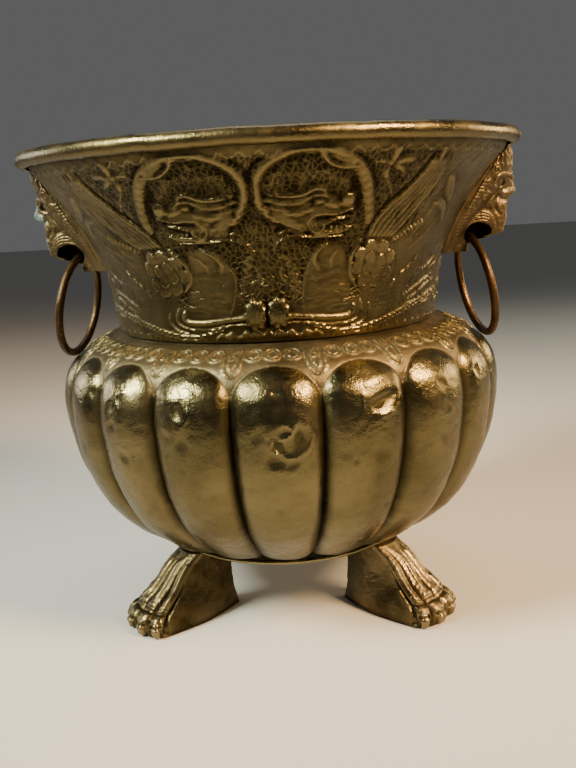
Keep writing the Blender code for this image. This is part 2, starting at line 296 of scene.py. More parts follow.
def add_softbox(name, degrees, lift, far, size, watts, colour, spread):
    data = bpy.data.lights.new(name, "AREA")
    data.shape, data.size, data.size_y = "RECTANGLE", size[0], size[1]
    data.energy, data.color = watts, colour
    data.spread = math.radians(spread)
    lamp = bpy.data.objects.new(name, data)
    bpy.context.scene.collection.objects.link(lamp)
    lift = math.radians(lift)
    place = Vector(spin(math.cos(lift), math.sin(lift), degrees)) * far
    lamp.location = place + Vector((0, 0, SOFTBOX_RISE))
    lamp.rotation_mode = "QUATERNION"
    lamp.rotation_quaternion = (Vector(SOFTBOX_AIM) - lamp.location).to_track_quat("-Z", "Y")


def add_lights():
    for settings in SOFTBOXES:
        add_softbox(*settings)
    world = bpy.data.worlds.new("studio")
    world.use_nodes = True
    background = world.node_tree.nodes["Background"]
    background.inputs["Color"].default_value = (0.80, 0.81, 0.80, 1)
    background.inputs["Strength"].default_value = 0.14
    bpy.context.scene.world = world


# ---------------------------------------------------------------- materials

class Nodes:
    """Short calls for building one material's node tree."""

    def __init__(self, name):
        self.material = bpy.data.materials.new(name)
        self.material.use_nodes = True
        self.tree = self.material.node_tree
        self.shader = self.tree.nodes["Principled BSDF"]

    def add(self, kind, values=(), **settings):
        """A node with settings, and values (numbers, colours or sockets) for its inputs."""
        node = self.tree.nodes.new(kind)
        for key, value in settings.items():
            setattr(node, key, value)
        for key, value in dict(values).items():
            self.set(node.inputs[key], value)
        return node

    def set(self, socket, value):
        if isinstance(value, bpy.types.NodeSocket):
            self.tree.links.new(value, socket)
        elif isinstance(value, tuple):
            socket.default_value = (*value, 1.0)
        else:
            socket.default_value = value

    def place(self):
        return self.add("ShaderNodeTexCoord").outputs["Object"]

    def noise(self, scale, detail=4.0, rough=0.55, twist=0.0):
        values = {"Scale": scale, "Detail": detail, "Roughness": rough, "Distortion": twist,
                  "Vector": self.place()}
        return self.add("ShaderNodeTexNoise", values).outputs["Fac"]

    def specks(self, scale, feature="F1"):
        values = {"Scale": scale, "Vector": self.place()}
        return self.add("ShaderNodeTexVoronoi", values, feature=feature).outputs["Distance"]

    def mark(self, name):
        return self.add("ShaderNodeAttribute", attribute_name=name).outputs["Fac"]

    def span(self, source, low, high, out_low=0.0, out_high=1.0):
        values = {"Value": source, "From Min": low, "From Max": high, "To Min": out_low,
                  "To Max": out_high}
        return self.add("ShaderNodeMapRange", values).outputs["Result"]

    def mix(self, amount, first, second):
        values = {"Factor": amount, 6: first, 7: second}      # 6 and 7 are the colour sockets
        return self.add("ShaderNodeMix", values, data_type="RGBA").outputs[2]

    def math(self, operation, first, second, clamp=False):
        values = {0: first, 1: second}
        return self.add("ShaderNodeMath", values, operation=operation, use_clamp=clamp).outputs[0]

    def plus(self, first, second, share=1.0, clamp=False):
        """first plus a share of second."""
        if share != 1.0:
            second = self.math("MULTIPLY", second, share)
        return self.math("ADD", first, second, clamp)

    def both(self, first, second):
        return self.math("MULTIPLY", first, second, clamp=True)

    def bump(self, height):
        values = {"Strength": 1.0, "Distance": 1.0, "Height": height}
        self.set(self.shader.inputs["Normal"], self.add("ShaderNodeBump", values).outputs["Normal"])


SPECK_COLOUR = (0.06, 0.045, 0.02)
MATTE_COLOUR = (0.120, 0.094, 0.058)
VERDIGRIS_COLOUR = (0.085, 0.155, 0.160)
PUNCH_DARK = 0.62        # how dark a punch mark's pit is, and how deep in metres
PUNCH_DEEP = 0.0004


def aged_brass(name, bright, deep, tarnish_and_shade_colour, rough, tarnish_amount=0.35, speck_scale=0.0,
               verdigris=False, punched=0.0, matte=False):
    """Worn sheet brass: two tones in soft clouds, a darker tone in the tarnished recesses and
    where shade and a dark reflection are painted (mark "recess"), polish on the high places
    (mark "proud"), dark specks, faint unevenness. punched is how many punch marks fit in a metre
    where the mark "punched" asks for them. matte dulls what the mark "matte" names, and
    verdigris covers what the mark "verdigris" names."""
    n = Nodes(name)
    inputs = n.shader.inputs
    tarnish_and_shade, proud = n.mark("tarnish_and_shade"), n.mark("proud")
    cloud = n.span(n.noise(14.0, 5.0, 0.6, 0.4), 0.38, 0.64)
    blotch = n.span(n.noise(38.0, 6.0, 0.62), 0.52, 0.72)
    dark = n.plus(tarnish_and_shade, blotch, tarnish_amount, clamp=True)
    haze = n.span(n.noise(52.0, 4.0, 0.6), 0.35, 0.68, *rough)
    fine = n.plus(n.math("MULTIPLY", n.noise(230.0, 4.0, 0.6), 0.00042), n.noise(900.0, 2.0),
                  0.00015)
    if punched:
        pit = n.span(n.specks(punched, "DISTANCE_TO_EDGE"), 0.05, 0.26)
        pit = n.math("MULTIPLY", pit, n.mark("punched"))
        dark = n.plus(dark, pit, PUNCH_DARK, clamp=True)
        fine = n.plus(fine, pit, -PUNCH_DEEP)
    # The dark amount draws the colour to the third colour: tarnish in recesses and clouds, and
    # painted shade and a painted dark reflection where the mark asks for them.
    colour = n.mix(dark, n.mix(cloud, deep, bright), tarnish_and_shade_colour)
    if speck_scale:
        pits = n.span(n.specks(speck_scale), 0.16, 0.06)
        gate = n.span(n.noise(22.0, 3.0), 0.54, 0.62)
        colour = n.mix(n.both(pits, gate), colour, SPECK_COLOUR)
    if matte:
        colour = n.mix(n.math("MULTIPLY", n.mark("matte"), 0.6), colour, MATTE_COLOUR)
    colour = n.mix(proud, colour, tuple(min(1.0, c * 1.25) for c in bright))
    inputs["Metallic"].default_value = 1.0
    if verdigris:
        green = n.both(n.span(n.noise(75.0, 5.0, 0.65), 0.40, 0.56), n.mark("verdigris"))
        colour = n.mix(green, colour, VERDIGRIS_COLOUR)
        n.set(inputs["Metallic"], n.plus(1.0, green, -0.8))
    haze = n.plus(n.plus(haze, dark, 0.22), proud, -0.08, clamp=True)
    if matte:
        haze = n.plus(haze, n.mark("matte"), 0.18, clamp=True)
    n.set(inputs["Base Color"], colour)
    n.set(inputs["Roughness"], haze)
    n.bump(fine)
    return n.material


# ---------------------------------------------------------------- strokes

class Strokes:
    """Raised and engraved strokes over a height field. Each kind of field says which part of
    it a stroke reaches (window), and how a shape joins (lay) or cuts what is there."""

    def along(self, points, reach, per=6, closed=False):
        """The part that a line through the points reaches, with nearest() over it, or None."""
        line = flowing(points, per, closed)
        found = self.window(line.min(0), line.max(0), reach)
        if found is None:
            return None
        part, unit, x, y = found
        return part, *nearest(x, y, line * [unit, 1])

    def ridge(self, points, width, height, taper=0.0, per=6, closed=False):
        """A rounded raised line. taper 1 draws both ends to points."""
        found = self.along(points, width, per, closed)
        if found:
            part, d, t, _ = found
            self.lay(part, height * bulge(d, t, width, taper) ** self.fullness)

    def line(self, points, width=0.8, depth=0.5, per=6, closed=False):
        """An engraved line."""
        found = self.along(points, 2 * width, per, closed)
        if found:
            part, d, _, _ = found
            self.cut(part, depth * np.exp(-(1.7 * d / width) ** 2))

    def dome(self, points, wide, tall, height, power=0.6, turn=0.0):
        """An oval mound on the one point given. A height below 0 makes a hollow."""
        ((b, z),) = points
        found = self.window((b, z), (b, z), max(wide, tall))
        if found:
            part, unit, x, y = found
            u, v = turned(x - b * unit, y - z, turn)
            far = (u / wide) ** 2 + (v / tall) ** 2
            self.lay(part, height * np.clip(1 - far, 0, 1) ** power)


class Relief(Strokes):
    """A height field over a grid of sheet, where the higher of two raised shapes shows. across
    is in degrees, one per column; up in millimetres, one per row; scale in millimetres per
    degree, one per row."""

    fullness = 0.6

    def __init__(self, across, up, scale):
        self.across, self.up, self.scale = across, up, scale
        self.height = np.zeros((len(up), len(across)))

    def unit(self, z):
        return float(np.interp(z, self.up, self.scale))

    def window(self, low, high, reach):
        unit = self.unit((low[1] + high[1]) / 2)
        cols = np.flatnonzero((self.across > low[0] - reach / unit)
                              & (self.across < high[0] + reach / unit))
        rows = np.flatnonzero((self.up > low[1] - reach) & (self.up < high[1] + reach))
        if not len(cols) or not len(rows):
            return None
        part = np.s_[rows[0]:rows[-1] + 1, cols[0]:cols[-1] + 1]
        x, y = np.meshgrid(self.across[part[1]] * unit, self.up[part[0]])
        return part, unit, x, y

    def lay(self, part, shape):
        self.height[part] = np.maximum(self.height[part], shape)

    def cut(self, part, shape):
        self.height[part] -= shape

    def swell(self, points, width, height, taper=0.0):
        """A rounded form added on top of what is there."""
        found = self.along(points, width)
        if found:
            part, d, t, _ = found
            self.height[part] += height * bulge(d, t, width, taper)

    def strap(self, points, width, height, bars=0.0):
        """A flat band with a groove inside each edge and, if asked, bars across it."""
        found = self.along(points, width)
        if not found:
            return
        part, d, t, length = found
        half = width / 2
        shape = height * ramp(-d, -half, -half + 0.8)
        shape -= 0.35 * height * np.exp(-((d - half * 0.55) / 0.45) ** 2) * (d < half)
        if bars:
            bar = (0.5 + 0.5 * np.cos(2 * np.pi * t * length / bars)) ** 3
            shape -= 0.3 * height * bar * ramp(-d, -half * 0.9, -half * 0.5)
        old = self.height[part]
        self.height[part] = np.where(d < half, np.maximum(shape, old * 0.3 + 0.7 * shape), old)

    def inside(self, outline):
        """True inside a closed outline."""
        line = flowing(outline, 6, True)
        found = np.zeros(self.height.shape, bool)
        x, y = np.meshgrid(self.across, self.up)
        for (x1, y1), (x2, y2) in zip(line, np.roll(line, -1, axis=0)):
            if y1 != y2:
                found ^= ((y1 > y) != (y2 > y)) & (x < (x2 - x1) * (y - y1) / (y2 - y1) + x1)
        return found


class Chart(Strokes):
    """A sculpted face seen flat from one side: x and y for each point, with a weight for how
    squarely it faces that side. Shapes add up in the height, which charts share."""

    fullness = 0.65

    def __init__(self, x, y, weight, height):
        self.x, self.y, self.weight, self.height = x, y, weight, height

    def window(self, low, high, reach):
        part = (self.x > low[0] - reach) & (self.x < high[0] + reach) & (self.weight > 0)
        part &= (self.y > low[1] - reach) & (self.y < high[1] + reach)
        return part, 1.0, self.x[part], self.y[part]

    def lay(self, part, shape):
        self.height[part] += shape * self.weight[part]

    def cut(self, part, shape):
        self.height[part] -= shape * self.weight[part]


RIDGE, LINE, DOME, STRAP = Strokes.ridge, Strokes.line, Strokes.dome, Relief.strap


def work(field, rows, at=lambda *points: points):
    """Works rows of (kind of stroke, its points, that kind's settings). at moves the points."""
    for kind, points, *settings in rows:
        kind(field, at(*points), *settings)


# ---------------------------------------------------------------- neck

# The line the two sides mirror each other about leans a little: (height, degrees)
NECK_AXIS = [(191, -0.4), (205, -0.6), (230, 1.2), (262, -2.2), (300, -2.0)]
NECK_TOP = 294.4
SCALLOP_DEG = 3.9

# Strokes on one side. Points are (degrees out from that line, height)
ROUNDEL_NET = ((26.6, 262), (25.4, 273), (22.6, 282), (18.6, 288), (13.6, 290.6), (9.2, 290.2),
               (5.6, 286.8), (3.2, 281), (2.4, 274), (3.4, 266), (6.4, 259), (16, 256))
ROUNDEL = (
    (STRAP, ((29.6, 256.5), (28.6, 266), (25.8, 277.6), (22.4, 285.6), (18.2, 291)), 6.6, 1.25,
     4.2),
    (LINE, ((26.4, 257), (25.3, 266), (22.6, 276.6), (19.4, 284)), 1, 0.7),
    (LINE, ((20.6, 292.6), (15.4, 295.6), (10.4, 295.4), (5.4, 292.2), (1.4, 286.4), (-0.7, 278.6),
     (-0.9, 270.4)), 1.2, 0.9),
    (STRAP, ((20.2, 289.2), (15.6, 292.8), (10.8, 292.8), (6.6, 289.8), (3.4, 284.8), (1.6, 278),
     (1.4, 270.6), (2.8, 263.2), (5.4, 257.4)), 4.4, 1.25),
    (LINE, ((32.2, 257), (31.2, 266), (28, 278.4), (24.2, 287.2), (19.6, 293.2)), 1.2, 0.7),
    (STRAP, ((14.4, 294.4), (15.4, 289.6), (17.2, 285.8), (20, 283.6), (23.4, 283.8)), 3, 1.5),
)
CREST = (
    (DOME, ((13.6, 262.4),), 20, 9.6, 1.15, 0.5),
    (RIDGE, ((4.4, 271.8), (8, 270.6), (11.6, 271), (14.2, 273.6), (16.4, 273.4), (17.2, 270.6)),
     3.2, 1.9, 0.6),
)
# Strands of the crest below it, with their widths
STRANDS = (
    (((3.4, 268.6), (7.8, 267.2), (11.2, 267.4), (13.6, 269.4)), 3.4),
    (((2.8, 265.4), (6.8, 262.8), (10.8, 261.6), (14, 263.2)), 4),
    (((4, 261.2), (7.6, 257.8), (10.6, 255), (12.2, 252.6)), 4),
    (((6.6, 256.2), (8.8, 253.8), (11, 251.6)), 2.8),
)
# Brow, eye, snout with its nostril, lips and teeth, jaw, and the long line of the throat
FACE = (
    (RIDGE, ((12.4, 268.8), (14.6, 270.6), (17, 270.2), (18.8, 267.6)), 2, 2.1, 0.5),
    (DOME, ((15.9, 267.2),), 3.2, 2, 2.3),
    (LINE, ((13.9, 266.6), (15.6, 268.8), (17.9, 267.6), (16, 265.2)), 0.8, 0.7, 6, True),
    (RIDGE, ((17.6, 265.8), (20, 264.6), (22.4, 265.8)), 5, 1.9, 0.3),
    (DOME, ((22.9, 266.4),), 4.4, 3.9, 2.6),
    (LINE, ((21.2, 268.4), (20.4, 265.8), (21.6, 263.2)), 0.9, 0.8),
    (RIDGE, ((12.8, 255.8), (14.4, 259.8), (17, 260.8), (19.6, 260.2), (22, 261), (24.6, 262.6)),
     2.2, 2.1, 0.3),
    (LINE, ((15.4, 258), (18, 258.6), (21, 259), (24, 260.4)), 1.5, 1.2),
    (RIDGE, ((17, 254.8), (19.6, 257), (22.8, 258)), 1.9, 1.9, 0.7),
    (LINE, ((17.4, 253.2), (20.2, 254.8), (23, 255.8)), 1.3, 1),
    *((DOME, ((b, 252.9),), 1.1, 1, 1.9) for b in (18.8, 20.2, 21.6, 22.9)),
    (RIDGE, ((13.2, 253), (15.2, 249.9), (18.2, 250.4), (21.6, 250.8), (24, 252.6)), 2.4, 1.8,
     0.4),
    *((RIDGE, ((13 + 0.9 * k, 257 - 0.4 * k), (13.2 + 0.8 * k, 253.6),
               (14.8 + 0.5 * k, 251.2 + 0.8 * k), (16.9, 252.4 + 0.7 * k), (17 - 0.2 * k, 255.2)),
       0.9, 1.9 - 0.1 * k) for k in range(3)),
    (RIDGE, ((2.8, 240.4), (3.2, 244.2), (5, 247.4), (8.6, 249.2), (12.6, 248.8), (18, 248.4),
     (22, 248.6)), 1.6, 1.7, 0.5),
    (RIDGE, ((4.8, 250.6), (6.6, 252.4), (9.2, 252)), 1.3, 1.5, 0.5),
)
BODY_PANEL = ((12.4, 238.4), (10.6, 228), (10.6, 214), (11.8, 206.4), (24, 206), (25, 214),
              (23.4, 226), (22.8, 236), (20.8, 243.6), (16, 243))
# The panel's edge, the crescent beside it, leaves above it and the ragged line inside
BODY = (
    (RIDGE, ((12.2, 237), (10.2, 229), (10, 217), (11.2, 207.4)), 1.1, 1.35, 0.6),
    (RIDGE, ((27.2, 244.6), (24.8, 239), (23.7, 232), (24.2, 225.6), (26.2, 220)), 2.8, 2.1, 0.6),
    (RIDGE, ((17.4, 244.4), (14.4, 241), (13, 236), (14, 230)), 3.2, 1.9, 0.9),
    (RIDGE, ((20.4, 241.4), (18, 236.4), (17.8, 231.4)), 2.6, 1.8, 0.9),
    (LINE, ((15.8, 241.4), (14.2, 236.6), (15.2, 231.6)), 0.7, 0.5),
    (RIDGE, ((3.6, 238.6), (6.4, 236.6), (4.8, 234), (7.2, 232), (5.4, 229.4), (8, 227.6),
     (6.2, 225), (8.6, 223.2), (6.8, 220.2), (9, 218.2), (7.6, 215)), 1.4, 0.8, 0, 4),
    (RIDGE, ((3.8, 233.6), (3, 228.4), (5, 224)), 1.3, 0.8),
)
# Strokes on each petal of the rosette: kind, share of the petal, angles, width, height
PETAL = (
    (LINE, 1.0, (-100, -62, -24, 24, 62, 100), 0.7, 0.7),
    (RIDGE, 0.80, (-80, -30, 30, 80), 0.9, 2.0),
    (LINE, 0.35, (-90, 0, 90), 0.6, 0.35),
)
# Fields of light strokes: low corner, high corner, how many, lean, length, seed
ENGRAVED = (
    ((11.5, 208), (23, 238), 46, 2, 7.5, 81),
    ((3.5, 251), (14, 270), 46, -4, 6.5, 82),
    ((33, 248), (48, 287), 90, 66, 7.0, 83),
    ((46, 202), (78, 286), 150, 54, 7.0, 84),
)
# A sprig of leaves beside the roundel, with their widths
SPRIG = (
    (((31.4, 285.2), (31.4, 289.6), (32.2, 293.6)), 4.6),
    (((32, 284.8), (34.6, 286.2), (37, 285.8)), 3.8),
    (((31.8, 283.6), (34, 281.8), (35.4, 279.2)), 3.2),
    (((30, 285.2), (28.4, 285.8), (26.8, 285.4)), 2.2),
    (((31, 283), (30.6, 279.8), (31.4, 276.6)), 2.6),
)
SPRIG_STALK = (
    (DOME, ((30.8, 284.8),), 1.8, 1.8, 1.7),
    (RIDGE, ((31.4, 276.6), (33.4, 272), (35, 267)), 1, 0.9),
)
BROAD_LEAVES = (
    (((59.4, 262.6), (56.6, 268.4), (54, 273.4), (52, 277.8)), 8.0),
    (((51, 262.8), (54.8, 262.6), (58.4, 258), (59.8, 251.2)), 5.0),
)
GRASS = (
    ((42.4, 240), (46.6, 247), (50.6, 256), (53.4, 266)),
    ((44.6, 236), (49.6, 242.6), (53.6, 249), (57, 256)),
    ((46, 210), (51.6, 213.4), (58, 217.4), (64.4, 220.2)),
    ((47.4, 206.4), (54, 209.8), (60, 214.2), (68, 217.4)),
    ((55.6, 223.4), (61, 227.4), (66, 233), (69.6, 240)),
    ((60, 222.6), (66, 226.4), (72, 232.4), (76, 239)),
)
DASHES = ((45.6, 242.6), (47.8, 244.4), (50.4, 243.4), (52.6, 246.6), (43.4, 222), (46, 225.4),
          (48.8, 229), (40, 218))
CURLS = ((72, 204), (77, 212), (82, 203), (50, 201.6), (78, 224))
SIDE_LEAVES = (((76, 244), (80, 250), (85, 253), (90, 254)),
               ((73, 262), (79, 270), (85, 274), (90, 275)))
WING_TOP = ((29.8, 247), (32, 255.5), (35.8, 263), (39.4, 272), (42, 281), (43.2, 290.6))
WING_LOW = ((36.8, 246), (41.2, 253), (45, 262), (47.4, 272), (47.8, 281), (46.4, 288.6))
FEATHERS = 6
STALK_LOW = ((14, 198.2), (23.2, 195), (30, 195.4), (41.5, 199.9), (53.6, 205.4), (64, 208.8),
             (72, 210.6))
# The stalk from the middle knot, its hooked cuff, and the ragged leaves under it
SCROLL = (
    (RIDGE, ((5.4, 205), (10, 204.2), (14.4, 203.3), (19.6, 202.4), (24.2, 202.4), (26.8, 204.6),
     (26.6, 208.4)), 3.4, 1.6, 0.3),
    (RIDGE, ((6, 201.4), (10, 201.2), (14.4, 199.8), (19, 198.4), (24.6, 198.8), (28.4, 200.8),
     (29.8, 205.2), (28.6, 211.2)), 1.8, 1.2, 0.4),
    (RIDGE, ((25.8, 196.2), (30.2, 198.2), (32.6, 203.6), (32, 208.8)), 1.5, 1.4, 0.5),
    (LINE, ((6, 203), (12, 202), (18, 200.4), (25, 200.6), (27.8, 203)), 0.9, 0.8),
    (RIDGE, STALK_LOW, 1.3, 1.25),
    (RIDGE, shifted(STALK_LOW[1:], 0, -2.3), 1, 0.9),
    (RIDGE, ((0.6, 196.8), (1.8, 194.6), (3.3, 197.2), (5, 194.4), (6.8, 196.9), (8, 194.6),
     (9.6, 193.8), (11.4, 196.4), (12.8, 194.6), (14.6, 195.6), (16.6, 193.4)), 1.3, 1.4, 0, 4),
    *((DOME, ((b, 195),), 2.6, 2, 1.1) for b in (3.2, 7, 11.6)),
    *((RIDGE, ((20 + 4.6 * k, 192.9), (21.4 + 4.6 * k, 194.2), (22.6 + 4.6 * k, 193)), 1, 0.8,
       0, 3) for k in range(14)),
)
BALLS = ((3.4, 206.9), (-3.5, 206.4))
BALL_FLUTES = (-0.72, -0.38, 0.0, 0.38, 0.72)
FLUTE = ((0.35, -0.95), (0.85, -0.5), (1.0, 0.0), (0.85, 0.5), (0.35, 0.95))


def chase_neck(relief):
    """The chased pattern on one face of the neck."""
    for side in (1, -1):
        def at(*pairs):
            return [(table(z, NECK_AXIS) + side * b, z) for b, z in pairs]

        relief.height[relief.inside(at(*ROUNDEL_NET))] -= 0.35
        work(relief, ROUNDEL, at)
        dragon(relief, at)
        wing(relief, at)
        rosette(relief, at, 32.0, 231.0, 15.5)
        leaves(relief, at)
        side_lines(relief, at)
        for settings in ENGRAVED:
            engrave(relief, at, *settings)
        work(relief, SCROLL, at)
    knot(relief)


def dragon(relief, at):
    """A crested head in profile, jaws open, looking away from the middle, in broad low forms,
    over a smooth swelling panel."""
    work(relief, CREST, at)
    for strand, width in STRANDS:
        relief.swell(at(*strand), 1.3 * width, 0.95, 0.4)
        for shift in (-0.9, 0.1, 1.0):
            relief.line(at(*shifted(strand, 0, shift)), 0.55, 0.28)
        relief.line(at(*shifted(strand, 0.4, 0.6 * width)), 0.8, 0.45)
    work(relief, FACE, at)
    smooth = soften(relief.inside(at(*BODY_PANEL)).astype(float), 2)
    relief.height = relief.height * (1 - smooth) + smooth * (0.2 + 0.9 * soften(smooth, 11))
    work(relief, BODY, at)


def wing(relief, at):
    """Long feathers that sweep from the rosette up to the rim, with fine barbs."""
    def row(line):
        return at(*map(tuple, line[::3]))

    top, low = flowing(WING_TOP, 6), flowing(WING_LOW, 6)
    for t in np.linspace(0, 1, FEATHERS):
        reach = len(top) - int(abs(t - 0.35) * 8)
        line = (top * (1 - t) + low * t)[:reach]
        relief.ridge(row(line), 3.4, 1.15, 0.35, per=3)
        relief.line(row(line + [0.75, -0.5]), 0.7, 0.6, per=3)
        for b, z in line[3::2]:
            relief.line(at((b - 0.55, z + 1.1), (b + 0.6, z + 0.1)), 0.5, 0.34, per=2)
    relief.line(row(top - [1.1, -0.6]), 1.1, 0.8, per=3)
    relief.line(row(low + [1.3, -0.6]), 1.1, 0.8, per=3)
    # A braided rib where the wing leaves the rosette
    for k in range(9):
        b, z = 38.6 + 1.25 * k, 243.4 + 1.1 * k
        relief.ridge(at((b - 0.7, z + 1.9), (b + 0.8, z - 1.3)), 1.5, 1.6, 0.6, per=2)


def rosette(relief, at, b, z, size):
    """Flat scalloped petals with turned-up edges, in two rings."""
    relief.dome(at((b, z)), size, 0.88 * size, 0.8, 0.3)
    rng = np.random.default_rng(5)
    unit = relief.unit(z)
    for count, out, wide in ((8, 0.70, 4.9), (4, 0.30, 4.3)):
        for k in range(count):
            a = 2 * math.pi * (k + 0.3) / count + rng.uniform(-0.12, 0.12)
            (centre,) = oval(b, z, out * size / unit, 0.88 * out * size, [a])
            relief.dome(at(centre), wide, wide * 0.92, 1.15, 0.3)
            for kind, share, angles, width, height in PETAL:
                arc = oval(*centre, share * wide / unit, share * wide, a + np.radians(angles))
                kind(relief, at(*arc), width, height, per=3)


def leaves(relief, at):
    """A sprig beside the roundel, and two broad leaves towards the mask."""
    for line, width in SPRIG:
        relief.ridge(at(*line), width, 1.3, 1.0)
        relief.line(at(*line), 0.6, 0.4)
    work(relief, SPRIG_STALK, at)
    for line, width in BROAD_LEAVES:
        relief.ridge(at(*line), width, 1.3, 0.9)
        relief.line(at(*line), 0.8, 0.5)
        relief.line(at(*shifted(line, 2.2, 0.8)), 0.8, 0.5)


def side_lines(relief, at):
    """The plainer part towards the mask: long grass-like strokes, dashes, curls and leaves."""
    for line in GRASS:
        relief.ridge(at(*line), 1.6, 0.85, 0.8)
    for b, z in DASHES:
        relief.ridge(at((b, z), (b + 1.7, z + 3.4)), 1.4, 1.25, 0.8, per=3)
    for size, high in ((1.0, 1.1), (0.5, 1.2)):
        ring = oval(60.0, 210.6, 5.4 * size, 7.4 * size, np.linspace(0.4, 2 * math.pi - 0.3, 10))
        relief.ridge(at(*ring), 1.3, high, per=3)
    for b, z in CURLS:
        relief.ridge(at((b - 2, z - 3), (b - 2.6, z + 1.4), (b, z + 3.4), (b + 2.2, z + 1),
                        (b + 0.6, z - 1.4)), 1.2, 1.0, per=4)
    for line in SIDE_LEAVES:
        relief.ridge(at(*line), 4.2, 1.0, 0.9)
        relief.line(at(*line), 0.7, 0.5)


def engrave(relief, at, low, high, count, lean, length, seed):
    """Short light strokes between two corners, the way a chaser fills feathers and hair."""
    rng = np.random.default_rng(seed)
    for _ in range(count):
        b, z = rng.uniform(low[0], high[0]), rng.uniform(low[1], high[1])
        size, turn = length * rng.uniform(0.6, 1.3), math.radians(lean + rng.uniform(-8, 8))
        end = (b + size * math.cos(turn) / 2.2, z + size * math.sin(turn))
        middle = ((b + end[0]) / 2 + 0.25, (z + end[1]) / 2)
        relief.line(at((b, z), middle, end), 0.75, 0.38, per=2)


def knot(relief):
    """Two fluted balls low in the middle, with beads round them and a line between."""
    for b, z in BALLS:
        b += table(z, NECK_AXIS)
        relief.dome([(b, z)], 5.8, 8.2, 3.3, 0.5)
        for lean in BALL_FLUTES:
            flute = [(b + 3.05 * lean * part, z + 7.9 * high) for part, high in FLUTE]
            relief.line(flute, 1.0, 0.95, per=3)
        for bead in oval(b, z, 2.8, 7.4, np.radians(range(20, 360, 40))):
            relief.dome([bead], 1.5, 1.4, 2.5)
    middle = table(206, NECK_AXIS)
    relief.line([(middle, 214), (middle, 199)], 0.9, 1.2)


def punched_ground(relief):
    """1 where the plain ground is punched: the nets in the roundels, the middle, and the strip
    under the rim."""
    across, up = np.abs(relief.across[None]), relief.up[:, None]
    middle = (across < 29) & (up > 212) & (up < 291)
    beside = (across >= 29) & (across < 44) & (up > 250) & (up < 292)
    return soften(((relief.height < 0.2) & (middle | beside)).astype(float), 1)


def chase_scallops(relief):
    """Scallops under the rim in fine raised line."""
    for k in range(-24, 25):
        arc = [(k + part, NECK_TOP - drop) for part, drop in
               ((0.0, 0.0), (0.16, 2.4), (0.5, 3.6), (0.84, 2.4), (1.0, 0.0))]
        relief.ridge([(part * SCALLOP_DEG + 0.7, z) for part, z in arc], 1.0, 0.95, per=4)


def curl_rows(count, radius, start, end):
    """Points round the rolled rim's section."""
    return np.array(oval(*ROLL_CENTRE, radius, radius, np.radians(np.linspace(start, end, count))))


def neck_height(relief):
    """The worked height, softened and kept from standing too proud, on slightly uneven sheet."""
    height = soften(relief.height, 1) * 0.5 + relief.height * 0.5
    height = np.where(height > 0, 2.6 * np.tanh(height / 2.6), height)
    ground = height < 0.15
    x, z = relief.across * relief.scale[:, None], relief.up[:, None] + 0 * relief.height
    height += 0.22 * waves(x, z, 0 * x, 26, 11) * ramp(z, 191, 196) * ramp(-z, -294, -289)
    height += np.where(ground, 0.10 * waves(x, z, 0 * x, 2.6, 12, 2), 0)
    return height * ramp(z, 190.6, 192.2) * ramp(-z, -294.6, -293.0)


def build_neck(material):
    """Two halves. Rows climb the worked outside, go round the rolled rim and down inside."""
    outside = evenly(flowing(NECK, 10), 0.78)
    around = np.linspace(-90, 90, 524)
    relief = Relief(around, outside[:, 1], np.radians(1) * outside[:, 0])
    chase_neck(relief)
    punched = punched_ground(relief)
    chase_scallops(relief)
    height = neck_height(relief)
    tarnish_and_shade = np.clip((soften(height, 5) - height) * 1.3 + 0.06 - 0.10 * height, 0, 1)
    proud = np.clip((height - soften(height, 3)) * 1.9 + 0.10 * (height - 1.2), 0, 0.8)

    inner = evenly(flowing(NECK, 10), 9.0)[::-1]
    inner = inner + outward(inner) * SHEET      # this line runs down, so its normal faces in
    tail = np.vstack([curl_rows(8, ROLL_R - SHEET, 212, -100), curl_rows(22, ROLL_R, -108, 205),
                      inner])
    rim = np.repeat([0.0, 1.0, 0.0], [8, 22, len(inner)])[:, None]
    wear = 0.35 * waves(around[None] / 40, rim, 0 * rim, 0.35, 21) * rim
    upward = np.tile([0.0, 1.0], (len(tail), 1))
    marks = {"tarnish_and_shade": np.vstack([tarnish_and_shade, np.where(rim > 0, 0.02, 0.55) + 0 * wear]),
             "proud": np.vstack([proud, 0.6 * rim + 0 * wear]),
             "punched": np.vstack([punched, 0 * wear])}
    for half, sign in (("front", 1), ("back", -1)):
        points = np.concatenate([raised(outside, outward(outside), height, around),
                                 raised(tail, upward, wear, around)])
        points[..., 1] *= sign
        add_half("neck_" + half, points, material, ["neck_shell"], marks, flip=sign < 0)


# ---------------------------------------------------------------- belly

# Heights here are arc, in millimetres up the outline from the belly's foot
COLUMNS_PER_LOBE = 56
LOBE_TOP = 169.5
LOBE_SHOULDER = 146.0    # where a lobe's sides begin to close in
LOBE_GROOVE = [(0, 2.6), (16, 5.2), (50, 8.4), (110, 8.8), (138, 8.8), (147, 8.0), (152, 6.6),
               (158, 4.6), (164, 3.0), (171, 1.9), (180, 1.2), (190, 0.9)]

# How far each place has drifted from even spacing: the lobes at the front right are wider
LOBE_DRIFT = [(-180, 0), (-85, -1.2), (-47.4, -1.6), (-28.4, -1.3), (-9.5, -0.2), (9.5, 2.2),
              (28.4, 4.2), (47.4, 6.4), (85, 5.2), (180, 0)]

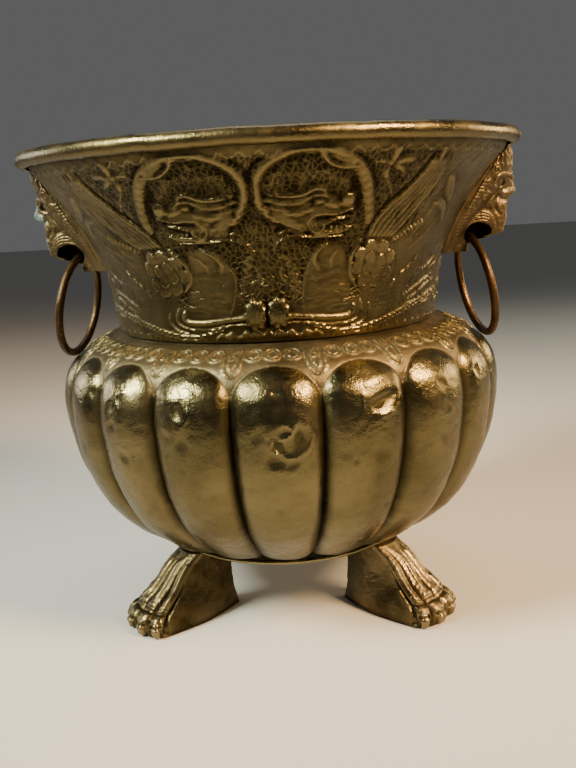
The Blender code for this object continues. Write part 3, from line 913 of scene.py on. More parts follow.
# The large knocks on the front lobes: place, half width, half height, depth, turn
KNOCKS = (
    ((21.6, 140.5), 11.0, 7.5, 2.2, 8), ((20.6, 154), 9.0, 6.0, -0.5, 0),
    ((2.2, 122), 12.0, 15.0, 1.2, 0), ((0.0, 150.5), 3.4, 2.6, 0.7, 20),
    ((1.4, 130.5), 4.6, 4.0, 0.9, 30), ((4.0, 125), 4.0, 8.6, 1.2, -10),
    ((0.0, 121.5), 4.4, 4.4, 1.0, 0), ((-1.2, 112), 6.4, 5.4, 1.0, 15),
    ((-3.6, 128), 4.4, 6.6, 0.7, 0), ((2.6, 111), 4.6, 4.6, 0.6, 0),
    ((-20.0, 139.5), 4.6, 7.0, 1.5, 10), ((-23.4, 149), 5.0, 6.4, -0.5, 0),
    ((-23.6, 132.6), 4.6, 5.0, -0.7, 0), ((-19.6, 122), 5.4, 8.0, 0.7, 0),
    ((-36.6, 146), 3.2, 6.8, 0.9, 12), ((-39.6, 139), 3.6, 5.2, 0.8, -10),
    ((-39.4, 129), 5.0, 4.4, 0.9, 0), ((-36.8, 112), 5.6, 6.0, 0.7, 0),
    ((36.6, 144), 4.2, 5.6, 0.8, 0), ((37.6, 131), 4.2, 4.6, 0.7, 15),
    ((37.0, 112), 4.2, 5.4, 0.6, 0), ((20.4, 112), 9.0, 7.0, 0.7, 0),
    ((15.6, 109), 2.2, 2.4, 0.6, 0), ((52.6, 146), 3.4, 5.6, 0.8, 0),
    ((-49.6, 146), 3.2, 5.0, 0.6, 0), ((24.2, 74), 4.0, 3.0, 0.5, 30),
)
# Folds raised beside them: points, width, height
FOLDS = (
    (((17.2, 146), (17.6, 140), (21.0, 134.2), (25.2, 136.0), (25.8, 142)), 2.6, 0.8),
    (((1.2, 134.4), (3.0, 130.0), (1.4, 126.0), (-1.2, 123.6), (-0.8, 118.4), (1.8, 116.4)),
     3.2, 0.9),
    (((5.8, 134), (7.0, 127), (6.0, 119.4), (3.2, 114.4), (0.2, 115.6)), 3.4, 0.75),
    (((-18.0, 143), (-17.8, 138), (-19.4, 133.4)), 2.4, 0.6),
    (((-35.2, 150), (-37.4, 147), (-37.0, 141), (-38.2, 135.6)), 2.2, 0.55),
)
BAND_WIDE, BAND_HIGH = 1.3, 0.7      # the raised line of the shoulder band
BAND_UNIT = 2.2                      # millimetres to a degree there


def drifted(degrees):
    """Azimuth of a place on the belly whose lobes would all be as wide as each other."""
    return degrees + table((degrees + 180) % 360 - 180, LOBE_DRIFT)


def lobe_across(degrees):
    """0 on a lobe's crown, 1 in the groove beside it."""
    return np.abs(2 * ((degrees / LOBE_DEG + 0.5) % 1.0) - 1)


def lobe_round(degrees, arc):
    """0 on a lobe's crown, 1 at its edge, which closes over its top in half an ellipse."""
    above = np.maximum(np.asarray(arc) - LOBE_SHOULDER, 0) / (LOBE_TOP - LOBE_SHOULDER)
    return np.hypot(lobe_across(degrees), above)


def lobe_drop(degrees, arc):
    """How far the surface lies under the crown's outline."""
    rho = np.minimum(lobe_round(degrees, arc), 1.3)
    inside = np.minimum(rho, 1)
    crease = 0.3 * np.exp(-((rho - 1.0) / 0.03) ** 2) * ramp(arc, 146, 156)
    return table(arc, LOBE_GROOVE) * (0.66 * inside ** 2.2 + 0.34 * inside ** 8) + crease


def dent(relief, place, wide, tall, depth, turn=0.0):
    """A knock in the sheet with an uneven outline and a faint raised rim."""
    found = relief.window(place, place, 1.9 * max(wide, tall))
    if found is None:
        return
    part, unit, x, y = found
    dx, dy = x - place[0] * unit, y - place[1]
    dx = dx + 0.16 * wide * np.sin(2.1 * dy / tall + place[1])
    dy = dy + 0.16 * tall * np.sin(2.4 * dx / wide + place[0])
    u, v = turned(dx, dy, turn)
    far = np.hypot(u / wide, v / tall)
    relief.height[part] -= depth * np.clip(1 - far ** 2, 0, 1) ** 2
    relief.height[part] += 0.05 * depth * np.exp(-((far - 1.2) / 0.35) ** 2)


def knock_belly(relief, seed):
    """The large knocks and folds, then small ones everywhere."""
    for knock in KNOCKS:
        dent(relief, *knock)
    for line, width, height in FOLDS:
        relief.swell(line, width, height, 0.6)
    rng = np.random.default_rng(seed)
    low, high = relief.across[0], relief.across[-1]
    for _ in range(int((high - low) * 0.7)):
        place = (rng.uniform(low, high), rng.uniform(20, 150))
        size = rng.uniform(2.4, 6.5)
        dent(relief, place, size, size * rng.uniform(0.7, 1.6), rng.uniform(0.08, 0.30),
             rng.uniform(0, 180))
    for _ in range(int((high - low) * 1.2)):
        place = (rng.uniform(low, high), rng.uniform(10, 158))
        dent(relief, place, rng.uniform(0.6, 1.1), rng.uniform(0.6, 1.3), rng.uniform(0.1, 0.3))


def band_loops(relief, a, rng):
    """Three double ovals, each leaning its own way, over the lobe at a."""
    for shift in (-0.24, 0.0, 0.24):
        lean = rng.uniform(-16, 16)
        b = a + (shift + rng.uniform(-0.02, 0.02)) * LOBE_DEG
        for wide, tall in ((4.6, 6.4), (2.4, 3.7)):
            ring = np.array(oval(0, 0, wide, tall, np.linspace(0, 2 * math.pi, 11)[:-1]))
            u, v = turned(ring[:, 0], ring[:, 1], -lean)
            relief.ridge(np.stack([b + u / BAND_UNIT, 180.4 + v], axis=1), BAND_WIDE, BAND_HIGH,
                         per=4, closed=True)


def band_hooks(relief, groove, rng):
    """Two hooks, one in the other, that run down into the corner between two lobes, and a
    wavy line up their middle."""
    for wide, foot in ((4.2, 162.6), (2.0, 167.4)):
        wide, lean = wide / BAND_UNIT, rng.uniform(-0.4, 0.4)
        hook = [(groove + part * wide, z) for part, z in
                ((-1.25, 178), (-0.9, foot + 4), (0, foot), (0.9, foot + 4), (1.25, 178))]
        ends = [(groove + lean + part * wide, 186.6) for part in (-1.5, 1.5)]
        relief.ridge([ends[0], *hook, ends[1]], BAND_WIDE, BAND_HIGH, per=4)
    relief.ridge([(groove - 0.6, 175), (groove + 0.5, 178.4), (groove - 0.5, 182),
                  (groove + 0.6, 185.6)], BAND_WIDE, BAND_HIGH, per=4)


def chase_shoulder(relief, seed):
    """The band over the lobes, in fine raised line."""
    rng = np.random.default_rng(seed)
    low, high = relief.across[0], relief.across[-1]
    for a in np.arange(-10, 12) * LOBE_DEG:
        if low - LOBE_DEG < a < high + LOBE_DEG:
            band_loops(relief, a, rng)
            band_hooks(relief, a + LOBE_DEG / 2, rng)
    relief.line([(low, 189.4), (high, 189.4)], 0.8, 0.3, per=2)


def belly_outlines():
    """The arcs of the outer rows, closer together over the lobes' tops, with the outline
    there; and the arcs of the inner side, running down, with its outline."""
    outline = evenly(flowing(BELLY[::-1], 10), 0.2)
    gone = gone_along(outline)

    def at(arc):
        return np.stack([np.interp(arc, gone, outline[:, k]) for k in (0, 1)], axis=1)

    arc = np.concatenate([np.arange(0, 144, 1.45), np.arange(144, gone[-1] - 0.3, 0.74),
                          gone[-1:]])
    inner_arc = np.linspace(gone[-1], 0, 18)
    inner = at(inner_arc)
    return arc, at(arc), inner_arc, inner + outward(inner) * SHEET


def belly_marks(a, up, worked, detail, rest):
    """Tarnish and painted shade, polish and dullness over the outer rows, then over the rest, which
    is inside.
    """
    d, rho = lobe_across(a), lobe_round(a, up)
    above = ramp(up, 146, 154)
    # Tarnish in the worked hollows; tarnish and painted shade in the grooves between the lobes and
    # in the creases round their tops.
    tarnish_and_shade = 0.75 * ramp(d, 0.74, 1.0) * ramp(-up, -158, -146) \
        + 0.45 * np.exp(-((rho - 1.0) / 0.05) ** 2) * above + 0.8 * (soften(detail, 4) - detail)
    # Tarnish and painted shade in the corners above the lobes' tops, a painted dark reflection over
    # the lower belly below about arc 135, and darker still towards the foot.
    tarnish_and_shade = np.clip(tarnish_and_shade, 0, 1) + 0.18 * ramp(rho, 0.98, 1.1) * above \
        + 0.22 * ramp(-up, -135, -70) + 0.25 * ramp(-up, -38, -10)
    proud = np.clip(2.2 * (worked - soften(worked, 3)), 0, 0.8)
    proud += 0.30 * ramp(-d, -0.75, -0.2) * ramp(up, 95, 140) * ramp(-rho, -0.95, -0.8)
    matte = ramp(rho, 0.9, 1.05) * ramp(up, 140, 152)
    inside = np.zeros((rest, a.shape[1]))
    return {"tarnish_and_shade": np.vstack([np.clip(tarnish_and_shade, 0, 1), inside + 0.5]),
            "proud": np.vstack([np.clip(proud, 0, 1), inside]),
            "matte": np.vstack([matte, inside])}


def build_belly(material):
    """Two halves. Rows climb the worked outside, cross the collar and run down inside."""
    arc, line, inner_arc, inner = belly_outlines()
    top = arc[-1]
    scale = np.radians(1) * line[:, 0]
    collar = NECK[0][0] - SHEET - 0.6
    collar = np.array([(collar, 190.6), (collar + 0.6, 199.5), (collar + 0.6 - SHEET, 199.5),
                       (collar - SHEET, 189.6)])
    for half, first, lobes, seed, knocks_at, band_at in (
            ("front", -4.5, 9, 31, 0, 0), ("back", 4.5, 10, 32, 180, 10 * LOBE_DEG)):
        around = (first + np.linspace(0, lobes, lobes * COLUMNS_PER_LOBE + 1)) * LOBE_DEG
        knocked = Relief(around - knocks_at, arc, scale)
        knock_belly(knocked, seed)
        band = Relief(around - band_at, arc, scale)
        chase_shoulder(band, seed)
        a, up = np.meshgrid(around, arc)
        x = a * scale[:, None]
        worked = band.height * ramp(-up, 0.2 - top, 2.0 - top)
        uneven = 0.34 * waves(x, up, 0 * x, 38, seed) + 0.16 * waves(x, up, 0 * x, 15, seed + 50)
        knocks = (knocked.height + uneven) * ramp(up, 0, 8) * ramp(-up, -top, 6 - top)
        inner_a, inner_up = np.meshgrid(around, inner_arc)
        points = np.concatenate([
            raised(line, outward(line), worked + knocks - lobe_drop(a, up), drifted(around)),
            raised(collar, 0 * collar, 0 * around[None], drifted(around)),
            raised(inner, outward(inner), lobe_drop(inner_a, inner_up) + 0.3, drifted(around))])
        marks = belly_marks(a, up, worked, worked + knocked.height, len(points) - len(arc))
        add_half("belly_" + half, points, material, ["belly_shell"], marks)


# ---------------------------------------------------------------- base

UNDER_RINGS = (62.0, 40.0, 14.0)


def build_base(material):
    """A turned disc with a rolled bead at its lip and raised rings underneath."""
    lip, steps = BASE_LIP_R, 240
    line = [(0.01, 1.5), (lip - 6, 1.5), (lip - 1.6, 1.6), (lip - 1.2, 2.7)]
    line += oval(lip - 0.1, 1.5, 1.35, 1.4, np.radians(np.linspace(120, -100, 12)))
    line += [(lip - 2.2, 0.3), (lip - 3.4, 0.3)]
    for r in UNDER_RINGS:
        line += [(r + 2.0, 0), (r + 1.2, -0.5), (r, -0.8), (r - 1.2, -0.5), (r - 2.0, 0)]
    line = np.array(line + [(0.01, 0)]) + [0, BASE_Z]
    points = raised(line, 0 * line, np.zeros((1, steps)), np.arange(steps) * 360 / steps)
    points[..., 2] += 0.12 * waves(*np.moveaxis(points, -1, 0), 14, 41)
    out = np.hypot(points[..., 0], points[..., 1])
    marks = {"tarnish_and_shade": np.clip(0.5 - 0.4 * ramp(out, lip - 2.5, lip), 0, 1),
             "proud": 0.6 * ramp(out, lip - 0.6, lip + 0.6)}
    faces = grid_faces(len(line), steps, wrap_cols=True, flip=True).tolist()
    faces += [range(steps), range((len(line) - 1) * steps, len(line) * steps)[::-1]]
    add_piece("base_disc", points, faces, material, "pot", ["base_plate"], marks)


# ---------------------------------------------------------------- masks

HINGE = {"left": Vector((-127.5, 0, 239.5)), "right": Vector((127.5, 0, 239.5))}
RING_R = 33.0            # centre line of the ring
RING_WIRE = 2.65
RING_LEAN = math.radians(11.0)
RING_TWIST = math.radians(8.5)
MASK_FOOT = 229.6        # the thin flange reaches lower than the muzzle
MASK_HEAD = 295.0
MOUTH_WALL = 1.6         # half of the wall left in the middle of the mouth

# Sizes by height: half width, and how broad and how softly edged the middle ridge is
MASK_WIDE = [(229, 19), (233, 21), (245, 24), (262, 28), (282, 28), (295, 26)]
CREST_WIDE = [(229, 10), (258, 11), (264, 8.5), (270, 6.5), (276, 13), (283, 18), (295, 19)]
CREST_EDGE = [(229, 2.5), (258, 3.4), (266, 5.5), (276, 8.0), (295, 8.0)]

# Outline of each face in profile: (height, distance from the pot's axis)
PROFILE = {
    "left": [(229, 128.2), (235.6, 128.6), (236.6, 135), (238.0, 143), (240.5, 148.0),
             (250, 149.8), (258, 150.4), (262.5, 151.4), (264.6, 155.0), (268, 157.0),
             (272, 155.0), (276, 153.4), (282, 153.4), (290, 153.2), (295, 151.0)],
    "right": [(229, 128.2), (235.6, 128.6), (237.0, 136), (238.4, 144), (241.0, 151.0),
              (250, 153.4), (258, 154.0), (262.5, 154.6), (265.0, 158.2), (268, 159.6),
              (272, 158.2), (276, 156.8), (282, 157.4), (290, 156.2), (295, 152.8)],
}
CHEEK = {
    "left": [(229, 6), (240, 8), (250, 10), (262, 13.5), (272, 13.5), (282, 9.6), (290, 4.6),
             (295, 1.0)],
    "right": [(229, 6), (240, 8), (250, 10), (262, 15), (272, 16.5), (282, 13.5), (290, 7.4),
              (295, 2.2)],
}

# Strokes seen from the side, as (distance from the pot's axis, height)
SIDE_STROKES = (
    (DOME, ((146.8, 272.2),), 4.4, 3.4, -3, 0.6, 10),
    (DOME, ((147.4, 271.8),), 2.3, 1.6, 1.2),
    (RIDGE, ((143.8, 270.4), (145.8, 273.6), (149, 274.2), (151.6, 272.4)), 1.1, 0.7),
    (RIDGE, ((144.2, 269.8), (147.4, 269), (150.6, 269.8)), 1.1, 0.6),
    (RIDGE, ((142, 273), (144.2, 276.2), (148, 277.6), (152, 277.2), (155.4, 275.8)), 2.4, 1.3,
     0.3),
    (DOME, ((150.4, 265.2),), 3.4, 2.6, 0.7),
    (LINE, ((148.4, 267.6), (147.4, 264.8), (148.8, 262.2), (151.8, 261.4)), 1.2, 0.55),
    (DOME, ((141, 262.4),), 6.8, 6, 1),
    (LINE, ((146.4, 264), (144.4, 259.6), (145.2, 255.6), (147.6, 252.4)), 1.6, 0.7),
    (DOME, ((139.4, 257.6),), 2.8, 3.6, -1, 0.6, 30),
    # Moustache arched over the mouth
    *((RIDGE, ((125.6, 245.4 + 0.7 * lift), (129.2, 248 + 0.9 * lift), (134.6, 248.9 + 1.1 * lift),
               (140.2, 248 + lift), (144.4, 244.6 + 0.9 * lift)), 1.4, high, 0.5)
      for lift, high in ((0, 0.7), (1.8, 0.95), (3.5, 0.95), (5.2, 0.6))),
    # Locks behind the cheek, and waves of hair over the forehead
    *((RIDGE, ((x - 2.2, z + 2.2), (x - 0.2, z), (x + 2.6, z - 0.4)), 1.3, 0.7, 0.6)
      for x, z in ((138.6, 266.6), (136.2, 262), (133.6, 256.6), (130.6, 251.8))),
    *((RIDGE, ((x - 1.2, 292), (x + 1, 288.4), (x + 0.4, 285.2), (x + 1.8, 282.2)), 1.9, 0.7, 0.6)
      for x in (142.4, 145.6, 148.8, 152)),
    *((LINE, ((x + 0.4, 291.6), (x + 2.4, 288), (x + 2, 284.6)), 0.9, 0.4)
      for x in (142.4, 145.6, 148.8, 152)),
)
# Curls behind the cheek: centre, first angle, size, turns, way round
CURLED_LOCKS = (
    (143.0, 280.2, 90, 3.2, 1.4, 1), (138.8, 272.0, 200, 2.6, 1.1, -1),
    (136.0, 266.4, 120, 2.5, 1.1, 1), (133.2, 260.8, 60, 2.4, 1.1, -1),
    (130.2, 256.0, 120, 2.2, 1.1, 1),
)
BORDER = ((141.4, 284), (138.2, 278.6), (134.4, 273), (130.8, 267), (127.2, 261), (124, 255),
          (121.4, 249.6), (119.6, 245), (117.8, 239.8), (116.6, 236))

# Strokes seen from the front, as (distance from the middle, height)
FRONT_STROKES = (
    (DOME, ((9.6, 272.4),), 5, 4, -2.2),
    (DOME, ((10, 272),), 2.8, 2, 1.5),
    (RIDGE, ((3, 273.6), (6.4, 277), (11, 278.2), (15.4, 277)), 2.8, 1.3, 0.3),
    (LINE, ((0, 281), (1.6, 277.4), (1.2, 274)), 1.2, 0.6),
    (DOME, ((5.4, 265.4),), 3.2, 2.8, 0.8),
    (DOME, ((3.2, 263),), 1.6, 1.2, -1.4),
    (LINE, ((0, 262.4), (0, 258)), 1.2, 0.8),
    # Whisker pits, and the lips' ridges
    *((DOME, ((2.4 + 2.3 * j, 256.6 - 2.4 * k + 0.4 * j),), 0.55, 0.55, -0.4)
      for k in range(3) for j in range(4)),
    *((RIDGE, ((0.8, 250.8 - 2.6 * k), (5, 251.8 - 2.8 * k), (10, 250 - 3 * k)), 1.5, 0.6, 0.4)
      for k in range(3)),
    (RIDGE, ((1.5, 242.6), (6, 242), (10, 242.8)), 2.2, 0.8),
    # Waves of hair over the forehead
    *((RIDGE, ((y, 293), (y + 1, 289.6), (y - 0.6, 286), (y + 0.8, 282.4)), 2.1, 0.8, 0.6)
      for y in 1.5 + 3.1 * np.arange(6)),
)


def neck_radius(z):
    line = flowing(NECK, 8)
    return np.interp(z, line[:, 1], line[:, 0])


def mask_front(side, y, z):
    """How far the mask's face stands from the pot's axis plane."""
    back = np.sqrt(neck_radius(z) ** 2 - y * y)
    u = np.minimum(np.abs(y) / table(z, MASK_WIDE), 1.0)
    face = back + 1.5 + table(z, CHEEK[side]) * np.sqrt(np.maximum(0.0, 1 - u ** 3))
    edge = table(z, CREST_EDGE)
    ridge = ramp(table(z, CREST_WIDE) + edge - np.abs(y), 0, edge)
    nose = table(z, PROFILE[side]) - 0.018 * y * y
    return np.where(nose > face, face + (nose - face) * ridge, face)


def mask_grid(side):
    """The mask's face for the side at +X, rows climbing, columns from -Y to +Y."""
    rows = []
    for z in np.linspace(MASK_FOOT, MASK_HEAD, 140):
        wide = table(z, MASK_WIDE)
        y = np.concatenate([[0.0], np.linspace(0.02, 1, 400) ** 0.8 * wide])
        half = np.stack([mask_front(side, y, np.full_like(y, z)), y], axis=1)
        half = np.vstack([half, [math.sqrt(neck_radius(z) ** 2 - wide ** 2) + 0.3, wide]])
        half = evenly(half, gone_along(half)[-1] / 117)
        both = np.vstack([half[:0:-1] * [1, -1], half])
        rows.append(np.column_stack([both, np.full(len(both), z)]))
    points = np.array(rows)
    inner = np.zeros(points.shape[:2])
    inner[3:-3, 3:-3] = 1
    inner = soften(inner, 2)
    for k in (0, 1):
        points[..., k] += (soften(points[..., k], 2) - points[..., k]) * inner
    return points


def carve_face(points):
    """Height of the face's detail over its grid, by strokes seen from the side and the front."""
    x, y, z = np.moveaxis(points, -1, 0)
    height = np.zeros(x.shape)
    side_on = ramp(np.abs(surface_normals(points)[..., 1]), 0.35, 0.75)
    side = Chart(x, z, side_on, height)
    work(side, SIDE_STROKES)
    work(Chart(np.abs(y), z, 1 - side_on, height), FRONT_STROKES)
    for b, c, start, size, turns, way in CURLED_LOCKS:
        t = np.linspace(0, 1, int(12 * turns))
        a, r = math.radians(start) + way * 2 * math.pi * turns * t, size * (1 - 0.8 * t)
        side.ridge(np.stack([b + r * np.cos(a), c + r * np.sin(a)], 1), 1.15, 0.75)
    carve_border(side)
    return height


def carve_border(side):
    """A smooth ridge beside the mane that turns into slanted lumps low down."""
    border = evenly(flowing(BORDER, 8), 2.3)
    side.ridge(border[:16], 1.5, 0.55, 0.2)
    for a, b in zip(border[5:-1], border[6:]):
        turn = math.degrees(math.atan2(b[1] - a[1], b[0] - a[0]))
        side.dome([tuple((a + b) / 2 + (1.0, 0))], 2.2, 0.85, 0.85, 0.5, turn + 118)
    side.line(border - [2.4, -1.2], 1.0, 0.5)


def open_mouth(points):
    """Pushes the sides of the mouth in to a middle wall, under an arch that the ring's wire
    runs into, and flares it about the hinge so that the ring swings clear. Gives how far each
    point went in."""
    x, y, z = (points[..., k].copy() for k in range(3))
    dx, dz = x - HINGE["right"].x, z - HINGE["right"].z
    width = table(dz, [(-4.2, 0), (-3.4, 4.2), (-1.0, 4.8), (0.6, 7.4), (3, 8.0), (6.2, 6.4),
                       (7.6, 3.2), (8.4, 0.4)])
    middle = table(dz, [(-8, 4.0), (-1, 4.6), (0.6, 6.6), (3, 6.6), (8, 6.2)])
    inside = ramp(width - np.abs(dx - middle), -0.2, 0.7) * ramp(-dz, -8.4, -7.6)
    over = np.abs(y) - MOUTH_WALL
    deep = np.where(over > 0, MOUTH_WALL + over * (1 - inside), np.abs(y))
    far = np.hypot(dx + np.tan(RING_TWIST) * np.sign(y) * deep, dz)
    sag = np.maximum((far - RING_WIRE - 0.5) / 1.04, 0)
    reach = np.sqrt(np.maximum(RING_R ** 2 - (RING_R - np.minimum(sag, RING_R)) ** 2, 0))
    clear = np.minimum(deep, np.where(far < 16, np.maximum(reach, MOUTH_WALL), 1e9))
    points[..., 1] = np.sign(y) * clear
    return np.clip((np.abs(y) - clear) / 3.0, 0, 1)


def shell_faces(rows, cols):
    """Faces of a closed shell: a grid, its twin behind it, and a strip round the edge."""
    faces = grid_faces(rows, cols).tolist()
    shift = rows * cols
    faces += [[q + shift for q in face[::-1]] for face in faces]
    grid = np.arange(shift).reshape(rows, cols)
    edge = [*grid[0], *grid[1:, -1], *grid[-1, -2::-1], *grid[-2:0:-1, 0]]
    return faces + [(b, a, a + shift, b + shift) for a, b in zip(edge, edge[1:] + edge[:1])]


def build_mask(side, material):
    sign = -1 if side == "left" else 1
    points = mask_grid(side)
    detail = carve_face(points)
    x, y, z = np.moveaxis(points, -1, 0)
    uneven = 0.28 * waves(x, y, z + 40 * sign, 11, 51) + 0.07 * waves(x, y, z, 3.2, 52, 2)
    border = np.zeros(detail.shape)
    border[2:-2, 4:-4] = 1
    height = (detail * 0.6 + 0.3 * soften(detail, 1) + uneven) * soften(border, 2)
    points = points + surface_normals(points) * height[..., None]
    sunk = open_mouth(points)
    back = points.copy()
    back[..., 1] = np.clip(points[..., 1], -table(z, MASK_WIDE), table(z, MASK_WIDE))
    back[..., 0] = np.sqrt(neck_radius(z) ** 2 - back[..., 1] ** 2) + 0.25
    every = np.stack([points, back])
    every[..., 0] *= sign
    # Tarnish in the carving's hollows, and painted shade inside the open mouth, as deep as its
    # sides are pushed in.
    tarnish_and_shade = np.clip(1.1 * (soften(detail, 3) - detail) + 0.9 * sunk + 0.10, 0, 1)
    proud = np.clip(1.3 * (detail - soften(detail, 3)), 0, 0.9) * (1 - sunk)
    green = ramp(x, 145.5, 149.5) * (ramp(z, 259.5, 262.5) * ramp(-z, -275, -271)
                                     + 0.6 * ramp(-z, -256, -251))
    green *= 1.0 if side == "left" else 0.12
    marks = {"tarnish_and_shade": [tarnish_and_shade, 0 * x + 0.6], "proud": [proud, 0 * x],
             "verdigris": [green, 0 * x]}
    faces = shell_faces(*x.shape)
    if sign < 0:
        faces = [face[::-1] for face in faces]
    add_piece("mask_" + side, every, faces, material, "pot", ["lion_mask_" + side],
              marks, sharp=70)


# ---------------------------------------------------------------- rings

def build_ring(side, material):
    """A bent wire ring: a little out of round, with flats worn where it turns in the mouth."""
    sign = -1 if side == "left" else 1
    along = Vector((sign * math.sin(RING_TWIST), -math.cos(RING_TWIST), 0))
    out = Vector((sign * math.cos(RING_TWIST), math.sin(RING_TWIST), 0))
    down = out * math.sin(RING_LEAN) - Vector((0, 0, 1)) * math.cos(RING_LEAN)
    centre, face = HINGE[side] + down * RING_R, along.cross(down)
    around, across = 300, 36
    a, b = np.meshgrid(np.arange(around) * 2 * np.pi / around,
                       np.arange(across) * 2 * np.pi / across, indexing="ij")
    rough = 0.05 * waves(18 * np.cos(a), 18 * np.sin(a), 4 * b, 9, 61) \
        + 0.03 * waves(33 * np.cos(a), 33 * np.sin(a), 3 * np.cos(b), 2.6, 62, 2)
    wire = RING_WIRE - 0.06 + rough - 0.10 * np.exp(-((np.sin(a / 2)) / 0.12) ** 2)
    spoke = np.sin(a)[..., None] * np.array(along) - np.cos(a)[..., None] * np.array(down)
    points = np.array(centre) + spoke * (RING_R + wire * np.cos(b))[..., None] \
        + (wire * np.sin(b))[..., None] * np.array(face)
    marks = {"tarnish_and_shade": np.clip(0.45 + 0.9 * rough / 0.08 * 0.3 + 0.2 * np.cos(b), 0, 0.9),
             "proud": np.clip(0.5 * np.sin(b) ** 8 + 0.5 * (rough > 0.05), 0, 0.5)}
    add_piece("ring_" + side, points, grid_faces(around, across, True, True, sign > 0), material,
              "ring_" + side, ["ring_handle_" + side], marks, sharp=80)


# ---------------------------------------------------------------- paw feet

# Each foot's place round the pot, and how dark its flat sides are
FEET = {"front_left": (-56.0, 0.45), "front_right": (56.0, 0.25), "rear": (180.0, 0.3)}
FOOT_HEEL = 47.0
# (height, furthest point out, half width, half width of the heel)
PAW = [(0.0, 119.6, 20.6, 5.0), (3.0, 121.0, 21.4, 5.6), (7.0, 121.0, 21.2, 5.6),
       (11.0, 118.8, 20.2, 5.6), (16.5, 112.6, 18.0, 5.4), (21.5, 106.0, 15.8, 5.2),
       (27.5, 99.6, 13.8, 5.0), (34.0, 94.4, 12.8, 5.0), (39.5, 89.4, 12.6, 5.0),
       (45.9, 83.0, 13.0, 5.0)]
PAW_STEP = 0.62
FLANK_COLUMNS, TOE_COLUMNS = 62, 150
# Toes across the paw, each with how much further up its knuckle is
TOES = ((-0.70, -0.8), (-0.235, 0.5), (0.235, 0.5), (0.70, -0.8))


def paw_row(z, front, half, heel_half):
    """One level of the paw, round from the heel: flat side, toes, flat side."""
    heel = FOOT_HEEL + 3.4 * min(z, 14.0) / 14.0
    side = front - half * 0.62
    flank = evenly(flowing([(heel + 1.0, 0), (heel, -0.6 * heel_half), (heel + 1.6, -heel_half),
                            (heel + 0.48 * (side - heel), -half * 0.80),
                            (side - 3, -half * 0.985), (side, -half)], 12), 0.2)
    flank = flank[np.linspace(0, len(flank) - 1, FLANK_COLUMNS).round().astype(int)]
    t = np.linspace(-1, 1, TOE_COLUMNS) * math.pi / 2
    arc = np.stack([side + half * 0.62 * np.cos(t) ** 0.8, half * np.sin(t)], axis=1)
    loop = np.vstack([flank[:-1], arc, (flank * [1, -1])[::-1][1:-1]])
    return np.column_stack([loop, np.full(len(loop), z)])


def paw_grid():
    """Rows up the paw and columns round it, as (out, aside, height); how far across the toes
    each column lies (-1 to 1, beyond on the flat sides); and how far up the front each row is."""
    levels = np.array(PAW)
    profile = evenly(flowing(levels[:, [1, 0]], 8), PAW_STEP)
    rows = [paw_row(z, *(np.interp(z, levels[:, 0], levels[:, k]) for k in (1, 2, 3)))
            for z in profile[:, 1]]
    across = np.concatenate([np.full(FLANK_COLUMNS - 1, -1.2), np.linspace(-1, 1, TOE_COLUMNS),
                             np.full(FLANK_COLUMNS - 2, 1.2)])
    return np.array(rows), across, PAW_STEP * np.arange(len(profile))


def carve_paw(across, gone):
    """Toes, knuckles, claws and tendons over the paw, as height."""
    p, w = np.meshgrid(across, gone)
    height = np.zeros_like(p)
    for k, (centre, lift) in enumerate(TOES):
        off = np.abs(p - centre - 0.02 * np.sin(w / 7 + k))
        u = np.clip(off / table(w, [(0, 0.20), (8, 0.235), (30, 0.225), (60, 0.22)]), 0, 1)
        amount = table(w, [(0, 1.2), (4, 2.2), (9 + lift, 4.4), (14 + lift, 4.0),
                           (18 + lift, 2.6), (22 + lift, 3.7), (27, 3.2), (33, 2.0),
                           (42, 1.5), (52, 0.9), (60, 0.2)])
        toe = amount * np.sqrt(1 - 0.96 * u ** 2)
        thin = np.clip(1 - (off / table(w, [(0, 0.09), (6, 0.12), (11, 0.04)])) ** 4, 0, 1)
        claw = 2.4 * np.sqrt(thin) * ramp(w, 0.0, 1.6) * ramp(-w, -11.0, -6.5)
        nail = -1.5 * np.exp(-((w - 7.6 - 0.8 * u) / 1.0) ** 2) * (u < 0.62)
        tendon = 0.9 * np.exp(-(off / 0.055) ** 2) * ramp(w, 24, 30) * ramp(-w, -58, -50)
        height = np.maximum(height, np.where(u < 1, toe + claw + nail + tendon, 0))
    fold = 0.35 * np.cos(w * 1.7) * ramp(w, 14.5, 16.5) * ramp(-w, -21.5, -19.5)
    height += fold * (np.abs(p) < 1)
    return (height - 2.2 * ramp(-w, -46, -20)) * ramp(1.08 - np.abs(p), 0.0, 0.16)


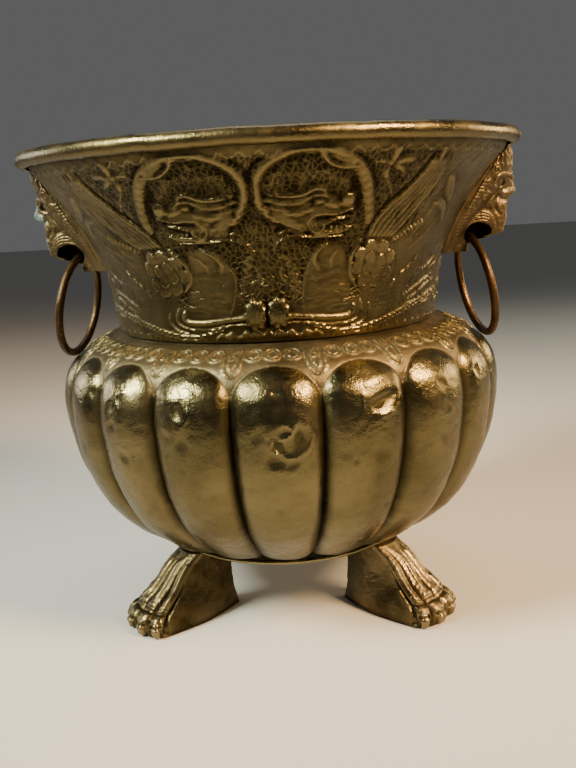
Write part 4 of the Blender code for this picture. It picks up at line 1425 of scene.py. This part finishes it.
def build_foot(name, material):
    degrees, shade = FEET[name]
    points, across, gone = paw_grid()
    detail = carve_paw(across, gone)
    x, y, z = np.moveaxis(points, -1, 0)
    flank = ramp(np.abs(across), 1.0, 1.1)[None] + 0 * z
    height = detail + 0.30 * waves(x, y, z, 12, 71 + int(degrees) % 7) \
        + (0.08 - 0.03 * flank) * waves(x, y, z, 2.8, 72, 2)
    height += flank * (1.2 * np.exp(-((x - 62) / 9) ** 2 - ((z - 12) / 10) ** 2)
                       - 0.9 * np.exp(-((x - 84) / 10) ** 2 - ((z - 22) / 10) ** 2))
    height *= (ramp(gone, 0, 2.5) * ramp(-gone, -gone[-1], 4 - gone[-1]))[:, None]
    loop = np.concatenate([points[:, -1:], points, points[:, :1]], axis=1)
    moved = points + surface_normals(loop)[:, 1:-1] * height[..., None]
    level = np.clip(moved[..., 2], 0, points[-1, 0, 2])
    rows, cols = level.shape
    faces = grid_faces(rows, cols, wrap_cols=True).tolist()
    faces += [range(cols)[::-1], range((rows - 1) * cols, rows * cols)]
    # Tarnish in the hollows between the toes, the flat sides darker, and darker over the lowest 5
    # mm, next to the floor.
    tarnish_and_shade = 0.48 * (soften(detail, 4) - detail) + shade * flank + 0.06 + 0.3 * ramp(-z, -5, 0)
    proud = np.clip(0.9 * (detail - soften(detail, 5)), 0, 0.9) * (1 - flank)
    marks = {"tarnish_and_shade": np.clip(tarnish_and_shade, 0, 1), "proud": proud}
    world = spin(moved[..., 0], level, degrees) + spin(moved[..., 1], 0 * level, degrees + 90)
    add_piece("paw_" + name, world, faces, material, "pot", ["paw_foot_" + name],
              marks, sharp=60)


# ---------------------------------------------------------------- fasteners and wire

def finish_cad_nodes(iron, copper):
    """The small turned and hexagonal pieces keep their CAD shapes and take these materials."""
    for name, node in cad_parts.items():
        if node.hide_render:
            continue
        made = copper if name.startswith("mask_") else iron
        if not node.material_slots:
            node.data.materials.append(made)
        for place in node.material_slots:
            place.material = made


neck_brass = aged_brass("neck_brass", (0.126, 0.100, 0.046), (0.062, 0.049, 0.021),
                        (0.013, 0.010, 0.004), rough=(0.27, 0.42), punched=330.0)
belly_brass = aged_brass("belly_brass", (0.166, 0.138, 0.068), (0.090, 0.075, 0.035),
                         (0.030, 0.024, 0.010), rough=(0.20, 0.36), tarnish_amount=0.22,
                         speck_scale=260.0, matte=True)
cast_brass = aged_brass("cast_brass", (0.150, 0.110, 0.056), (0.074, 0.053, 0.026),
                        (0.019, 0.014, 0.008), rough=(0.42, 0.55), verdigris=True)
foot_brass = aged_brass("foot_brass", (0.175, 0.135, 0.072), (0.060, 0.046, 0.019),
                        (0.022, 0.016, 0.006), rough=(0.26, 0.46), tarnish_amount=0.6,
                        speck_scale=420.0)
ring_brass = aged_brass("ring_brass", (0.17, 0.104, 0.050), (0.08, 0.047, 0.022),
                        (0.030, 0.018, 0.009), rough=(0.25, 0.42))
copper = aged_brass("rivet_copper", (0.42, 0.22, 0.10), (0.25, 0.12, 0.055), (0.05, 0.03, 0.015),
                    rough=(0.32, 0.5))
iron = aged_brass("fastener_iron", (0.24, 0.22, 0.19), (0.13, 0.11, 0.09), (0.05, 0.032, 0.02),
                  rough=(0.38, 0.6))
build_neck(neck_brass)
build_belly(belly_brass)
build_base(belly_brass)
for mask_side in ("left", "right"):
    build_mask(mask_side, cast_brass)
    build_ring(mask_side, ring_brass)
for foot_name in FEET:
    build_foot(foot_name, foot_brass)
finish_cad_nodes(iron, copper)
add_camera()
add_floor()
add_lights()
